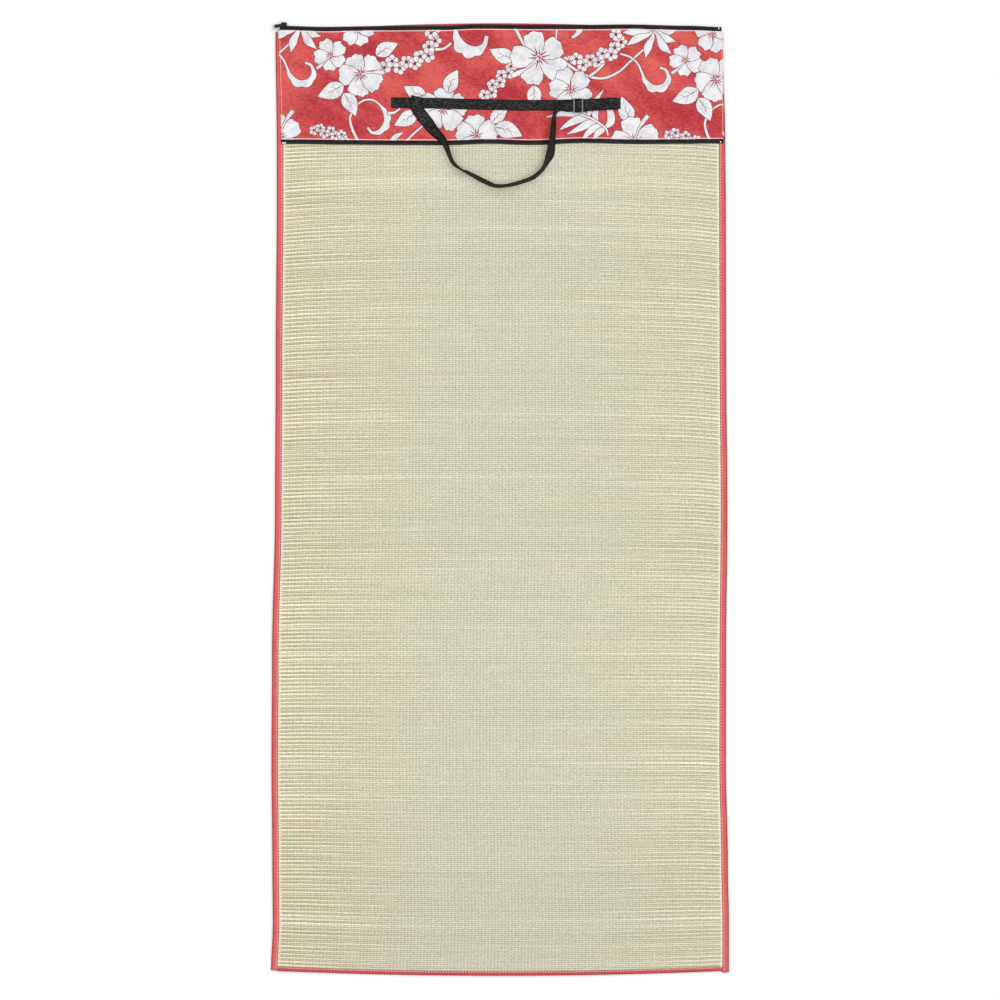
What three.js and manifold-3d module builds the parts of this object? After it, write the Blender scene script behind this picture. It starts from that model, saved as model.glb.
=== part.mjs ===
// A roll-up beach mat laid out flat: woven rush with bound edges, a printed cloth cover panel across its
// head with one half of a zip along each long edge, and a webbing carry strap on the panel.
// Millimetres. X runs across the mat, Y from its foot to its head, Z up from the ground it lies on.
import * as THREE from "three";
import { RoundedBoxGeometry } from "three/addons/geometries/RoundedBoxGeometry.js";
import { mergeVertices } from "three/addons/utils/BufferGeometryUtils.js";
import Module from "manifold-3d";

const wasm = await Module();
wasm.setup();
const { lerp, smoothstep, degToRad } = THREE.MathUtils;

// Driving dimensions
const GAP = 0.3; // clearance between pieces that lie on each other
const FOOT = -890; // foot outline at the sides
const HEAD = 881; // head outline at the sides
const RUSH = 3.2; // thickness of the woven rush at the crest of a rib
const RIB_PITCH = 7.3; // one thick and one thin rush stem
const RIB_DEPTH = 1; // groove between ribs at the sides of the mat
const RIB_DEPTH_CENTRE = 0.4; // the stems even out towards the middle
const RIBS_END = 672; // the ribs run from the foot to under the cover panel

const CLOTH = 1; // thickness of binding tape, zip tape and panel cloth
const LAYER = CLOTH + GAP; // one thickness of cloth lying on another
const BINDING_SIDE = 12; // width of the binding that shows along the sides and head
const BINDING_FOOT = 8;
const BINDING_TAIL = { left: -1, right: 3 }; // how far each side binding runs on past the foot
const BINDING_ROUND = 0.6;
const BINDING_TOP = RUSH + GAP + CLOTH; // the tape's upper face
const EDGE_GAP = 0.4; // between the rush ends and the fold of the binding

const ZIP_WIDTH = 13.3;
const ZIP_SHOWS = 8.3; // the rest lies under the panel's edge
const COIL_WIDTH = 4;
const COIL_HEIGHT = 2.5;
const ZIP_UPPER_LEFT = -415;
const ZIP_UPPER_RIGHT = 418;
const ZIP_LOWER_LEFT = -413;
const ZIP_LOWER_RIGHT = 421.5;
const ZIP_UPPER_EDGE = 893; // outer edges, before their wander
const ZIP_LOWER_EDGE = 669.5;
const COIL_END = 7; // bare tape past the right end of a coil
const PIN_BED = 10; // bare tape for the pin at the left end of the lower coil
const SLIDER_BED = 4.5; // bare tape at the left end of the upper coil
const ZIP_STOP = { size: [2.4, 3.6, 1.6], past: 1.8, inward: 2.6 }; // past the coil, in from the tape's edge
const ZIP_PIN = { size: [8, 3, 1.8], past: -4.5, inward: 1.7 };
const SLIDER = { x: -407.5, length: 11, wall: 2.2, plate: 1.2, outer: 6.4, mouth: -3.6, lip: -2.4 };
const ARCH = { half: 4, post: 1.5, width: 2.6, clear: 1.9, beam: 1.2, round: 0.8, y: 1.2, sunk: 0.2 };
const PULL = { tip: -21.7, heel: 1.6, heelHalf: 2.7, shoulder: -6, half: 3.2, thick: 1.2, turn: 9 };
const PULL_EYE = { from: -5.4, to: -0.6, half: 2.15 };

const PANEL_LEFT = [-412.5, -418]; // at the lower and the upper corner
const PANEL_RIGHT = [422.5, 420.5];
const SIDE_RISE = { from: 372, to: 396 }; // the panel climbs on to the side bindings
const UPPER_RISE = { from: 845, to: 870 }; // on to the head binding and the upper zip
const LOWER_RISE = { from: 716, to: 690 }; // on to the lower zip

const WEBBING = { base: 20, loop: 22.5, thick: 1.5 }; // widths of the base band and of the loop
const BASE = { left: -205.5, right: 227.5 };
const SLACK = 0.1; // the straps lie a little looser than the cloth
const SLIDE = { x: 147.5, y: 742, length: 21, rail: 1.2, play: 0.5, round: 0.5 };
const SLIDE_BAR = { wide: 3.6, high: 2, centre: 1.4 }; // the centre bar is lower than the outer two

// Where the outline and the rush rows run: x of each side, and how far a row's middle lies ahead of its ends.
const OUTLINE = [
  { along: -893, left: -432, right: 432, bow: -9.5 },
  { along: -800, left: -428.5, right: 432, bow: -8 },
  { along: -690, left: -429.5, right: 430, bow: -6 },
  { along: -500, left: -431, right: 426.3, bow: -3 },
  { along: -300, left: -430, right: 426.6, bow: 0 },
  { along: -20, left: -424.4, right: 429, bow: 4 },
  { along: 260, left: -423, right: 426.8, bow: 8 },
  { along: 560, left: -421, right: 426, bow: 12 },
  { along: 660, left: -421, right: 425.2, bow: 6 },
  { along: 890, left: -423.6, right: 420, bow: 16.5 },
];

// The zip halves wander a little from straight lines.
const UPPER_WANDER = [
  { x: -415, ahead: -0.2 },
  { x: -330, ahead: -2.2 },
  { x: -215, ahead: -0.5 },
  { x: -105, ahead: 0.1 },
  { x: -45, ahead: 2.6 },
  { x: 65, ahead: 1.7 },
  { x: 160, ahead: 1.6 },
  { x: 240, ahead: 2.4 },
  { x: 350, ahead: 0 },
  { x: 425, ahead: -2.7 },
];
const LOWER_WANDER = [
  { x: -415, ahead: 0.4 },
  { x: -190, ahead: -1.5 },
  { x: -110, ahead: -1.9 },
  { x: -20, ahead: 0.9 },
  { x: 55, ahead: -1.5 },
  { x: 160, ahead: 2.3 },
  { x: 265, ahead: 0.4 },
  { x: 425, ahead: 1.3 },
];

// Soft creases of the panel: place, turn in degrees, half length and half width, and height.
const CREASES = [
  { x: -345, y: 800, turn: 35, long: 90, wide: 26, high: 1 },
  { x: -300, y: 715, turn: 20, long: 70, wide: 20, high: 0.7 },
  { x: -215, y: 830, turn: -25, long: 80, wide: 24, high: 0.9 },
  { x: -85, y: 810, turn: 40, long: 75, wide: 22, high: 0.9 },
  { x: 20, y: 700, turn: 5, long: 90, wide: 14, high: 0.6 },
  { x: 130, y: 825, turn: -30, long: 85, wide: 25, high: 1 },
  { x: 275, y: 800, turn: 30, long: 80, wide: 24, high: 0.9 },
  { x: 330, y: 720, turn: -20, long: 75, wide: 22, high: 0.8 },
];
const CREASE_CLEAR = { from: 14, to: 40 }; // the sewn strap keeps the panel flat under it

// Middle line of the strap's base band.
const BASE_LINE = [
  { x: -206, y: 747.6 },
  { x: -124.5, y: 746.9 },
  { x: -49, y: 744.6 },
  { x: 41.5, y: 742.8 },
  { x: 86.8, y: 743 },
  { x: 228, y: 746 },
];

// The carry strap's route: place, lean from flat in degrees, and height of its lower side or edge.
const LOOP = [
  { x: -156, y: 759.3, lean: 0, low: 6.9 },
  { x: -158.3, y: 748, lean: 0, low: 6.9 },
  { x: -156, y: 736, lean: 0, low: 6.9 },
  { x: -147.5, y: 723.5, lean: 0, low: 6.7 },
  { x: -137.5, y: 711, lean: 5, low: 6.4 },
  { x: -130.5, y: 701.5, lean: 24, low: 6.3 },
  { x: -122, y: 691.5, lean: 37, low: 6.4 },
  { x: -110.5, y: 680, lean: 52, low: 6.5 },
  { x: -103.5, y: 669.5, lean: 61, low: 6.5 },
  { x: -98.2, y: 656, lean: 68, low: 4.4 },
  { x: -92.5, y: 641, lean: 73, low: 3.7 },
  { x: -86, y: 631, lean: 76, low: 3.7 },
  { x: -73, y: 621, lean: 85, low: 3.7 },
  { x: -62, y: 615.8, lean: 79, low: 3.7 },
  { x: -44, y: 606.2, lean: 73, low: 3.7 },
  { x: -22.5, y: 595.5, lean: 72, low: 3.7 },
  { x: -8, y: 590.2, lean: 77, low: 3.7 },
  { x: 8, y: 590.3, lean: 78, low: 3.7 },
  { x: 25, y: 593.2, lean: 76, low: 3.7 },
  { x: 50, y: 600.8, lean: 75, low: 3.7 },
  { x: 65.5, y: 608, lean: 73, low: 3.7 },
  { x: 80, y: 621.3, lean: 74, low: 3.7 },
  { x: 88, y: 635.5, lean: 65, low: 3.7 },
  { x: 94.3, y: 649.5, lean: 48, low: 4.2 },
  { x: 96.8, y: 664, lean: 51, low: 6.3 },
  { x: 98.6, y: 678.5, lean: 60, low: 6.6 },
  { x: 100.1, y: 692, lean: 63, low: 6.4 },
  { x: 101.2, y: 708, lean: 66, low: 6.2 },
  { x: 102.6, y: 723.5, lean: 73, low: 6.6 },
  { x: 108, y: 734, lean: 68, low: 6.9 },
  { x: 117.5, y: 739.6, lean: 40, low: 7.1 },
  { x: 127.5, y: 741.3, lean: 8, low: 7.8 },
  { x: 136.5, y: 741.8, lean: 0, low: 8.4 },
  { x: 158, y: 742.3, lean: 0, low: 8.4 },
  { x: 171, y: 743.2, lean: 0, low: 7.3 },
  { x: 195, y: 744.8, lean: 0, low: 6.9 },
  { x: 221, y: 746.2, lean: 0, low: 6.9 },
];

// Finishes
function finish(color, roughness, metalness = 0) {
  return new THREE.MeshStandardMaterial({ color, roughness, metalness });
}
const straw = finish(0xd3d1b9, 0.75);
const redTape = finish(0xdc5a56, 0.7);
const redCloth = finish(0xcb4a4c, 0.75);
const blackTape = finish(0x2b2d2e, 0.7);
const blackWebbing = finish(0x313031, 0.8);
const blackPlastic = finish(0x232425, 0.4);
const blackEnamel = finish(0x1f1f20, 0.35, 0.4);
const paleMetal = finish(0xd6d6d4, 0.3, 0.9);

// Evenly spaced values from one number to another, both included.
const spaced = (from, to, steps) => Array.from({ length: steps + 1 }, (_, i) => lerp(from, to, i / steps));

// A value of a table's column at a place between its rows, eased from row to row.
function eased(table, key, column, at) {
  const last = table.length - 1;
  const next = table.findIndex((row, i) => i === last || (i > 0 && at <= row[key]));
  const [a, b] = [table[next - 1], table[next]];
  return lerp(a[column], b[column], smoothstep(at, a[key], b[key]));
}

const leftAt = (along) => eased(OUTLINE, "along", "left", along);
const rightAt = (along) => eased(OUTLINE, "along", "right", along);
const bowAt = (along) => eased(OUTLINE, "along", "bow", along);

// How far across the mat x is, from -1 at its left side to 1 at its right.
function acrossAt(x, along) {
  const [left, right] = [leftAt(along), rightAt(along)];
  return (2 * x - left - right) / (right - left);
}

// A place on the mat: rows bow, so a row's middle lies ahead of or behind its ends.
function laid(x, along, z) {
  return new THREE.Vector3(x, along + bowAt(along) * (1 - acrossAt(x, along) ** 2), z);
}

// A rise from 0 to 1 as a value goes past a range, which may run either way.
const ramp = (value, { from, to }) =>
  from < to ? smoothstep(value, from, to) : 1 - smoothstep(value, to, from);

// A section drawn in x and y is run through unit depth, and each of its points is then put in its place.
function formed(section, steps, place) {
  const shape = new THREE.Shape(section.map(([x, y]) => new THREE.Vector2(x, y)));
  const prism = new THREE.ExtrudeGeometry(shape, { depth: 1, steps, bevelEnabled: false });
  const drawn = prism.getAttribute("position");
  const put = (i) => place(drawn.getX(i), drawn.getY(i), drawn.getZ(i));
  const triangles = [];
  for (let i = 0; i < drawn.count; i += 3) triangles.push([put(i), put(i + 1), put(i + 2)]);
  const volume = triangles.reduce((sum, [a, b, c]) => sum + a.dot(b.clone().cross(c)), 0);
  const outward = triangles.flatMap(([a, b, c]) => (volume < 0 ? [a, c, b] : [a, b, c]));
  return new THREE.BufferGeometry().setFromPoints(outward);
}

// A closed sheet: an upper and a lower grid of points on the same columns, joined by walls round the rim.
// The two grids may have different rows, as long as these start and end alike.
function sheet(columns, upperRows, lowerRows, place) {
  const points = [];
  const grid = (rows, layer) =>
    rows.map((row) => columns.map((column) => points.push(place(column, row, layer)) - 1));
  const [upper, lower] = [grid(upperRows, 1), grid(lowerRows, 0)];
  const faces = [];
  const fill = (rows, up) => {
    for (let r = 0; r + 1 < rows.length; r++)
      for (let c = 0; c + 1 < columns.length; c++) {
        const [a, b, d, e] = [rows[r][c], rows[r][c + 1], rows[r + 1][c], rows[r + 1][c + 1]];
        faces.push(...(up ? [a, b, e, a, e, d] : [a, e, b, a, d, e]));
      }
  };
  fill(upper, true);
  fill(lower, false);
  const last = columns.length - 1;
  for (let c = 0; c < last; c++) {
    const [p, q, a, b] = [lower[0][c], lower[0][c + 1], upper[0][c], upper[0][c + 1]];
    faces.push(p, q, b, p, b, a);
    const [s, t, d, e] = [lower.at(-1)[c], lower.at(-1)[c + 1], upper.at(-1)[c], upper.at(-1)[c + 1]];
    faces.push(t, s, d, t, d, e);
  }
  for (const c of [0, last]) {
    const face = (x, y, z) => faces.push(...(c === 0 ? [x, y, z] : [x, z, y]));
    let i = 0;
    let j = 0;
    while (i + 1 < upperRows.length || j + 1 < lowerRows.length) {
      const nextUpper = upperRows[i + 1] ?? Infinity;
      const nextLower = lowerRows[j + 1] ?? Infinity;
      if (nextLower < nextUpper) {
        face(lower[j + 1][c], lower[j][c], upper[i][c]);
        j += 1;
      } else {
        face(lower[j][c], upper[i][c], upper[i + 1][c]);
        i += 1;
      }
    }
  }
  return new THREE.BufferGeometry().setFromPoints(points).setIndex(faces);
}

// Joins closed geometries into one solid.
function joined(...geometries) {
  const solids = geometries.map((geometry) => {
    const bare = geometry.clone();
    for (const name of Object.keys(bare.attributes)) if (name !== "position") bare.deleteAttribute(name);
    const merged = mergeVertices(bare, 1e-3);
    return new wasm.Manifold(
      new wasm.Mesh({
        numProp: 3,
        vertProperties: merged.getAttribute("position").array,
        triVerts: new Uint32Array(merged.index.array),
      }),
    );
  });
  const mesh = solids.reduce((whole, piece) => whole.add(piece)).getMesh();
  return new THREE.BufferGeometry()
    .setAttribute("position", new THREE.BufferAttribute(new Float32Array(mesh.vertProperties), 3))
    .setIndex(new THREE.BufferAttribute(mesh.triVerts, 1));
}

function piece(name, geometry, material) {
  geometry.computeVertexNormals();
  const mesh = new THREE.Mesh(geometry, material);
  mesh.name = name;
  return mesh;
}

// The woven rush: one slab, ribbed across on top, pressed thin underneath where the binding wraps it.
function strawMat() {
  const [underBinding, clear] = [0.8, 2.5]; // where the pressed edge ends, and where full thickness starts
  const columns = [
    (left) => left + CLOTH + EDGE_GAP,
    (left) => left + BINDING_SIDE + underBinding,
    (left) => left + BINDING_SIDE + clear,
    (left, right) => lerp(left, right, 0.27),
    (left, right) => lerp(left, right, 0.5),
    (left, right) => lerp(left, right, 0.73),
    (_, right) => right - BINDING_SIDE - clear,
    (_, right) => right - BINDING_SIDE - underBinding,
    (_, right) => right - CLOTH - EDGE_GAP,
  ];
  const pressed = new Set([columns[0], columns[1], columns.at(-2), columns.at(-1)]);
  const footEdge = FOOT + CLOTH + EDGE_GAP;
  const headEdge = HEAD - CLOTH - EDGE_GAP;
  const ribsStart = FOOT + BINDING_FOOT + clear;
  const ribs = Math.floor((RIBS_END - ribsStart) / RIB_PITCH);
  const crests = spaced(ribsStart, ribsStart + ribs * RIB_PITCH, ribs);
  const grooves = new Set(crests.slice(1).map((crest) => crest - RIB_PITCH / 2));
  const underPanel = spaced(RIBS_END + RIB_PITCH, headEdge, 5);
  const upperRows = [footEdge, ...crests, ...grooves, ...underPanel].sort((a, b) => a - b);
  const [flatFoot, flatHead] = [FOOT + BINDING_FOOT + clear, HEAD - BINDING_SIDE - clear];
  const lowerRows = [
    footEdge,
    FOOT + BINDING_FOOT + underBinding,
    ...spaced(flatFoot, flatHead, 40),
    HEAD - BINDING_SIDE - underBinding,
    headEdge,
  ];
  const place = (column, along, layer) => {
    const x = column(leftAt(along), rightAt(along));
    if (layer === 0)
      return laid(x, along, pressed.has(column) || along < flatFoot || along > flatHead ? CLOTH + GAP : 0);
    const groove = lerp(RIB_DEPTH_CENTRE, RIB_DEPTH, acrossAt(x, along) ** 2);
    return laid(x, along, grooves.has(along) ? RUSH - groove : RUSH);
  };
  return piece("straw_mat", sheet(columns, upperRows, lowerRows, place), straw);
}

// The folded binding tape's section: how far in from the outline, and how high.
function bindingSection(width) {
  const [round, under] = [BINDING_ROUND, BINDING_TOP - CLOTH];
  return [
    [round, 0],
    [width, 0],
    [width, CLOTH],
    [CLOTH, CLOTH],
    [CLOTH, under],
    [width, under],
    [width, BINDING_TOP],
    [round, BINDING_TOP],
    [0, BINDING_TOP - round],
    [0, round],
  ];
}

function bindings() {
  const [sideSteps, endSteps] = [44, 20];
  const side = (name, tail, x) =>
    piece(
      name,
      formed(bindingSection(BINDING_SIDE), sideSteps, (inward, z, t) => {
        const along = lerp(FOOT - tail, HEAD, t);
        return laid(x(along, inward), along, z);
      }),
      redTape,
    );
  const end = (name, width, along) =>
    piece(
      name,
      formed(bindingSection(width), endSteps, (inward, z, t) => {
        const row = along(inward);
        const inset = BINDING_SIDE + EDGE_GAP;
        return laid(lerp(leftAt(row) + inset, rightAt(row) - inset, t), row, z);
      }),
      redTape,
    );
  return [
    side("binding_left", BINDING_TAIL.left, (along, inward) => leftAt(along) + inward),
    side("binding_right", BINDING_TAIL.right, (along, inward) => rightAt(along) - inward),
    end("binding_foot", BINDING_FOOT, (inward) => FOOT + inward),
    end("binding_head", BINDING_SIDE, (inward) => HEAD - inward),
  ];
}

const upperZipEdge = (x) => ZIP_UPPER_EDGE + eased(UPPER_WANDER, "x", "ahead", x);
const lowerZipEdge = (x) => ZIP_LOWER_EDGE + eased(LOWER_WANDER, "x", "ahead", x);
const sideRise = (x) => LAYER * ramp(Math.abs(x), SIDE_RISE);
const baseY = (x) => eased(BASE_LINE, "x", "y", x);

// Height of the panel's soft creases, faded out under the sewn strap.
function creaseAt(x, y) {
  const high = CREASES.map((crease) => {
    const turn = degToRad(crease.turn);
    const along = (x - crease.x) * Math.cos(turn) + (y - crease.y) * Math.sin(turn);
    const off = (y - crease.y) * Math.cos(turn) - (x - crease.x) * Math.sin(turn);
    return crease.high * Math.exp(-((along / crease.long) ** 2) - (off / crease.wide) ** 2);
  });
  return Math.max(...high) * ramp(Math.abs(y - baseY(x)), CREASE_CLEAR);
}

// Underside of the cover panel, which climbs on to the bindings and the zip tapes.
function panelUnder(x, y) {
  const zipRise = LAYER * (2 * ramp(y, UPPER_RISE) + ramp(y, LOWER_RISE));
  return RUSH + GAP + sideRise(x) + zipRise + creaseAt(x, y);
}

function coverPanel() {
  const place = (across, share, layer) => {
    const x = lerp(lerp(...PANEL_LEFT, share), lerp(...PANEL_RIGHT, share), across);
    const lower = lowerZipEdge(x) + ZIP_SHOWS;
    const upper = upperZipEdge(x) - ZIP_SHOWS;
    const y = lerp(lower, upper, share);
    return new THREE.Vector3(x, y, panelUnder(x, y) + layer * CLOTH);
  };
  const rows = spaced(0, 1, 13);
  return piece("cover_panel", sheet(spaced(0, 1, 34), rows, rows, place), redCloth);
}

// One half of the zip: its tape, with the coil standing up along the outer edge.
function zipHalf(name, left, right, bareLeft, place) {
  const section = [
    [0.4, 0],
    [ZIP_WIDTH, 0],
    [ZIP_WIDTH, CLOTH],
    [COIL_WIDTH + 0.2, CLOTH],
    [COIL_WIDTH - 0.4, COIL_HEIGHT - 0.5],
    [COIL_WIDTH - 1.2, COIL_HEIGHT],
    [1.2, COIL_HEIGHT],
    [0.4, COIL_HEIGHT - 0.5],
    [0, CLOTH + 0.3],
    [0, 0.4],
  ];
  const [coilLeft, coilRight] = [left + bareLeft, right - COIL_END];
  const easing = 2; // the coil comes up to its height within this length
  const stations = [left, coilLeft, ...spaced(coilLeft + easing, coilRight - easing, 30), coilRight, right];
  const geometry = formed(section, stations.length - 1, (inward, z, t) => {
    const x = stations[Math.round(t * (stations.length - 1))];
    const bare = x <= coilLeft || x >= coilRight;
    return place(x, inward, bare ? Math.min(z, CLOTH) : z);
  });
  return piece(name, geometry, blackTape);
}

function zips() {
  const upperBase = BINDING_TOP + GAP;
  const lowerBase = RUSH + GAP;
  const upper = zipHalf("zip_upper", ZIP_UPPER_LEFT, ZIP_UPPER_RIGHT, SLIDER_BED, (x, inward, z) =>
    new THREE.Vector3(x, upperZipEdge(x) - inward, upperBase + z));
  const lower = zipHalf("zip_lower", ZIP_LOWER_LEFT, ZIP_LOWER_RIGHT, PIN_BED, (x, inward, z) =>
    new THREE.Vector3(x, lowerZipEdge(x) + inward, lowerBase + sideRise(x) + z));
  const onTape = (name, size, x, y, base) => {
    const block = piece(name, new RoundedBoxGeometry(...size, 1, 0.4), paleMetal);
    block.position.set(x, y, base + LAYER + size[2] / 2);
    return block;
  };
  const onUpper = (name, { size, past, inward }, end) =>
    onTape(name, size, end + past, upperZipEdge(end) - inward, upperBase);
  const onLower = (name, { size, past, inward }, end) =>
    onTape(name, size, end + past, lowerZipEdge(end) + inward, lowerBase + sideRise(end));
  return [
    upper,
    lower,
    onUpper("zip_stop_upper", ZIP_STOP, ZIP_UPPER_RIGHT - COIL_END),
    onLower("zip_stop_lower", ZIP_STOP, ZIP_LOWER_RIGHT - COIL_END),
    onLower("zip_pin", ZIP_PIN, ZIP_LOWER_LEFT + PIN_BED),
  ];
}

// The slider straddles the upper coil's left end, with its pull lying out to the left.
function zipSlider() {
  const group = new THREE.Group();
  group.position.set(SLIDER.x, upperZipEdge(SLIDER.x), BINDING_TOP + GAP);
  const { length, wall, plate, outer, mouth, lip } = SLIDER;
  const top = COIL_HEIGHT + GAP;
  const channel = [
    [lip, -GAP - plate],
    [outer, -GAP - plate],
    [outer, top + plate],
    [mouth, top + plate],
    [mouth, top],
    [outer - wall, top],
    [outer - wall, -GAP],
    [lip, -GAP],
  ];
  const body = formed(channel, 1, (y, z, t) => new THREE.Vector3((t - 0.5) * length, y, z));
  const deck = top + plate;
  const [root, under] = [deck - ARCH.sunk, deck + ARCH.clear];
  const crown = under + ARCH.beam;
  const inside = ARCH.half - ARCH.post;
  const arch = [
    [-ARCH.half, root],
    [-inside, root],
    [-inside, under],
    [inside, under],
    [inside, root],
    [ARCH.half, root],
    [ARCH.half, crown - ARCH.round],
    [ARCH.half - ARCH.round, crown],
    [ARCH.round - ARCH.half, crown],
    [-ARCH.half, crown - ARCH.round],
  ];
  const bridge = formed(arch, 1, (x, z, t) => new THREE.Vector3(x, ARCH.y + (t - 0.5) * ARCH.width, z));
  group.add(piece("zip_slider", joined(body, bridge), blackEnamel));

  const { tip, heel, heelHalf, shoulder, half, thick } = PULL;
  const tab = new THREE.Shape();
  tab.moveTo(heel, -heelHalf);
  tab.lineTo(heel, heelHalf);
  tab.lineTo(shoulder, half);
  tab.absarc(tip + half, 0, half, Math.PI / 2, (3 * Math.PI) / 2);
  tab.lineTo(shoulder, -half);
  const eye = new THREE.Path();
  eye.moveTo(PULL_EYE.from, -PULL_EYE.half);
  eye.lineTo(PULL_EYE.from, PULL_EYE.half);
  eye.lineTo(PULL_EYE.to, PULL_EYE.half);
  eye.lineTo(PULL_EYE.to, -PULL_EYE.half);
  tab.holes.push(eye);
  const plateTab = new THREE.ExtrudeGeometry(tab, { depth: thick, bevelEnabled: false, curveSegments: 8 });
  const pull = piece("zip_pull", plateTab, blackEnamel);
  pull.position.set(0, ARCH.y, deck + GAP);
  pull.rotation.z = degToRad(PULL.turn);
  group.add(pull);
  return group;
}

function carryStrap() {
  const { thick } = WEBBING;
  const half = WEBBING.loop / 2;
  const band = (width) => [
    [-width / 2, 0],
    [width / 2, 0],
    [width / 2, thick],
    [-width / 2, thick],
  ];
  const baseUnder = RUSH + GAP + LAYER + SLACK;
  const base = formed(band(WEBBING.base), 30, (across, z, t) => {
    const x = lerp(BASE.left, BASE.right, t);
    return new THREE.Vector3(x, baseY(x) + across, baseUnder + z);
  });

  const curve = (point) => new THREE.CatmullRomCurve3(LOOP.map(point));
  const route = curve(({ x, y }) => new THREE.Vector3(x, y, 0));
  const pose = curve(({ lean, low }) => new THREE.Vector3(degToRad(lean), low, 0));
  const loop = formed(band(WEBBING.loop), 2 * (LOOP.length - 1), (across, z, t) => {
    const [place, heading] = [route.getPoint(t), route.getTangent(t)];
    const { x: lean, y: low } = pose.getPoint(t);
    const side = new THREE.Vector3(-heading.y * Math.cos(lean), heading.x * Math.cos(lean), Math.sin(lean));
    const face = new THREE.Vector3().crossVectors(heading, side);
    place.z = low + half * Math.abs(Math.sin(lean)) + (thick / 2) * Math.abs(Math.cos(lean));
    return place.addScaledVector(side, across).addScaledVector(face, z - thick / 2);
  });

  const onBase = baseUnder + thick + GAP;
  const { length, rail } = SLIDE;
  const { wide: bar, high: barHeight, centre: centreBar } = SLIDE_BAR;
  const inner = half + SLIDE.play;
  const overStrap = centreBar + GAP + thick + GAP + SLACK;
  const box = (sx, sy, sz, x, y, z) =>
    new RoundedBoxGeometry(sx, sy, sz, 1, SLIDE.round).translate(x, y, z + sz / 2);
  const span = 2 * (inner + rail);
  const frame = joined(
    box(length, rail, overStrap + barHeight, 0, inner + rail / 2, 0),
    box(length, rail, overStrap + barHeight, 0, -inner - rail / 2, 0),
    box(bar, span, barHeight, (bar - length) / 2, 0, overStrap),
    box(bar, span, barHeight, (length - bar) / 2, 0, overStrap),
    box(bar, span, centreBar, 0, 0, 0),
  );
  const slide = piece("strap_slide", frame, blackPlastic);
  slide.position.set(SLIDE.x, SLIDE.y, onBase);
  return [piece("strap_base", base, blackWebbing), piece("strap_loop", loop, blackWebbing), slide];
}

const beachMat = new THREE.Group();
beachMat.add(strawMat(), ...bindings(), coverPanel(), ...zips(), zipSlider(), ...carryStrap());

export default beachMat;
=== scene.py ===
"""Looks of a roll-up beach mat of woven rush, with bindings, a flower-printed panel, a zip and a carry strap.

Shapes are worked out in millimetres, in the frame of the solids, and become metres when a mesh is made.
X runs across the mat, Y from its foot to its head, Z up from the ground.
"""

import logging
import math
from contextlib import contextmanager
from dataclasses import dataclass, field, replace
from enum import Enum
from typing import Any, Callable, Iterator, Sequence

import bmesh
import bpy
import numpy as np
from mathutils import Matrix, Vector
from mathutils.geometry import delaunay_2d_cdt


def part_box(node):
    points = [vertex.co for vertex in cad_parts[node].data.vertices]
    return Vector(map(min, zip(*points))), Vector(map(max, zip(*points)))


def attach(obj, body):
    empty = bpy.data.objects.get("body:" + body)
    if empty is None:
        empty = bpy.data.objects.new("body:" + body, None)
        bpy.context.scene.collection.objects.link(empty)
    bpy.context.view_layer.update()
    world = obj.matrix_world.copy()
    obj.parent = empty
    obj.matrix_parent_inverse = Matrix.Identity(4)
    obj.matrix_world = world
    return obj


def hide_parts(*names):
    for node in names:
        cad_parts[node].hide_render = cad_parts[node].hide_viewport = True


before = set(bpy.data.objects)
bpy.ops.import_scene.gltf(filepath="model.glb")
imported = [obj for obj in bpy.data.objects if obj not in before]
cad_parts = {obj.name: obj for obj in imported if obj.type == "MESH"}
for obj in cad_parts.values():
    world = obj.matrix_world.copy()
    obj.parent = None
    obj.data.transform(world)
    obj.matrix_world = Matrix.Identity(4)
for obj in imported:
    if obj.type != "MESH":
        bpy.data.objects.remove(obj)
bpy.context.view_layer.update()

LOG = logging.getLogger("beach_mat")
MM = 0.001
BODY = "root"
# A normal or an edge this near an axis runs along it
FACING = 0.9
# Places this near each other count as one, in millimetres
NEAR = 0.1

Points = np.ndarray
Faces = list[list[int]]
Colour = tuple[float, float, float, float]
Piece = bpy.types.Object
Material = bpy.types.Material


# Numbers and curves


def srgb(red: int, green: int, blue: int) -> Colour:
    """Linear colour of a screen colour.

    Args:
        red: from 0 to 255.
        green: from 0 to 255.
        blue: from 0 to 255.

    Returns:
        The colour, with full cover.
    """
    share = np.array([red, green, blue]) / 255
    linear = np.where(share <= 0.04045, share / 12.92, ((share + 0.055) / 1.055) ** 2.4)
    return (float(linear[0]), float(linear[1]), float(linear[2]), 1.0)


def smooth(value: Any, start: Any, end: Any) -> Any:
    """Soft rise from 0 to 1 as a value goes from start to end, which may run either way."""
    share = np.clip((value - start) / (end - start), 0, 1)
    return share * share * (3 - 2 * share)


def eased(at: Any, table: Sequence[Sequence[float]], column: int) -> Any:
    """Value of a table's column, eased from row to row.

    Args:
        at: place or places, in the table's first column.
        table: rows of numbers, in order of their first one.
        column: which number of a row is wanted.

    Returns:
        The value or values there.
    """
    rows = np.asarray(table, float)
    after = np.clip(np.searchsorted(rows[:, 0], at), 1, len(rows) - 1)
    before, behind = rows[after - 1], rows[after]
    share = smooth(at, before[..., 0], behind[..., 0])
    return before[..., column] + (behind[..., column] - before[..., column]) * share


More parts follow.
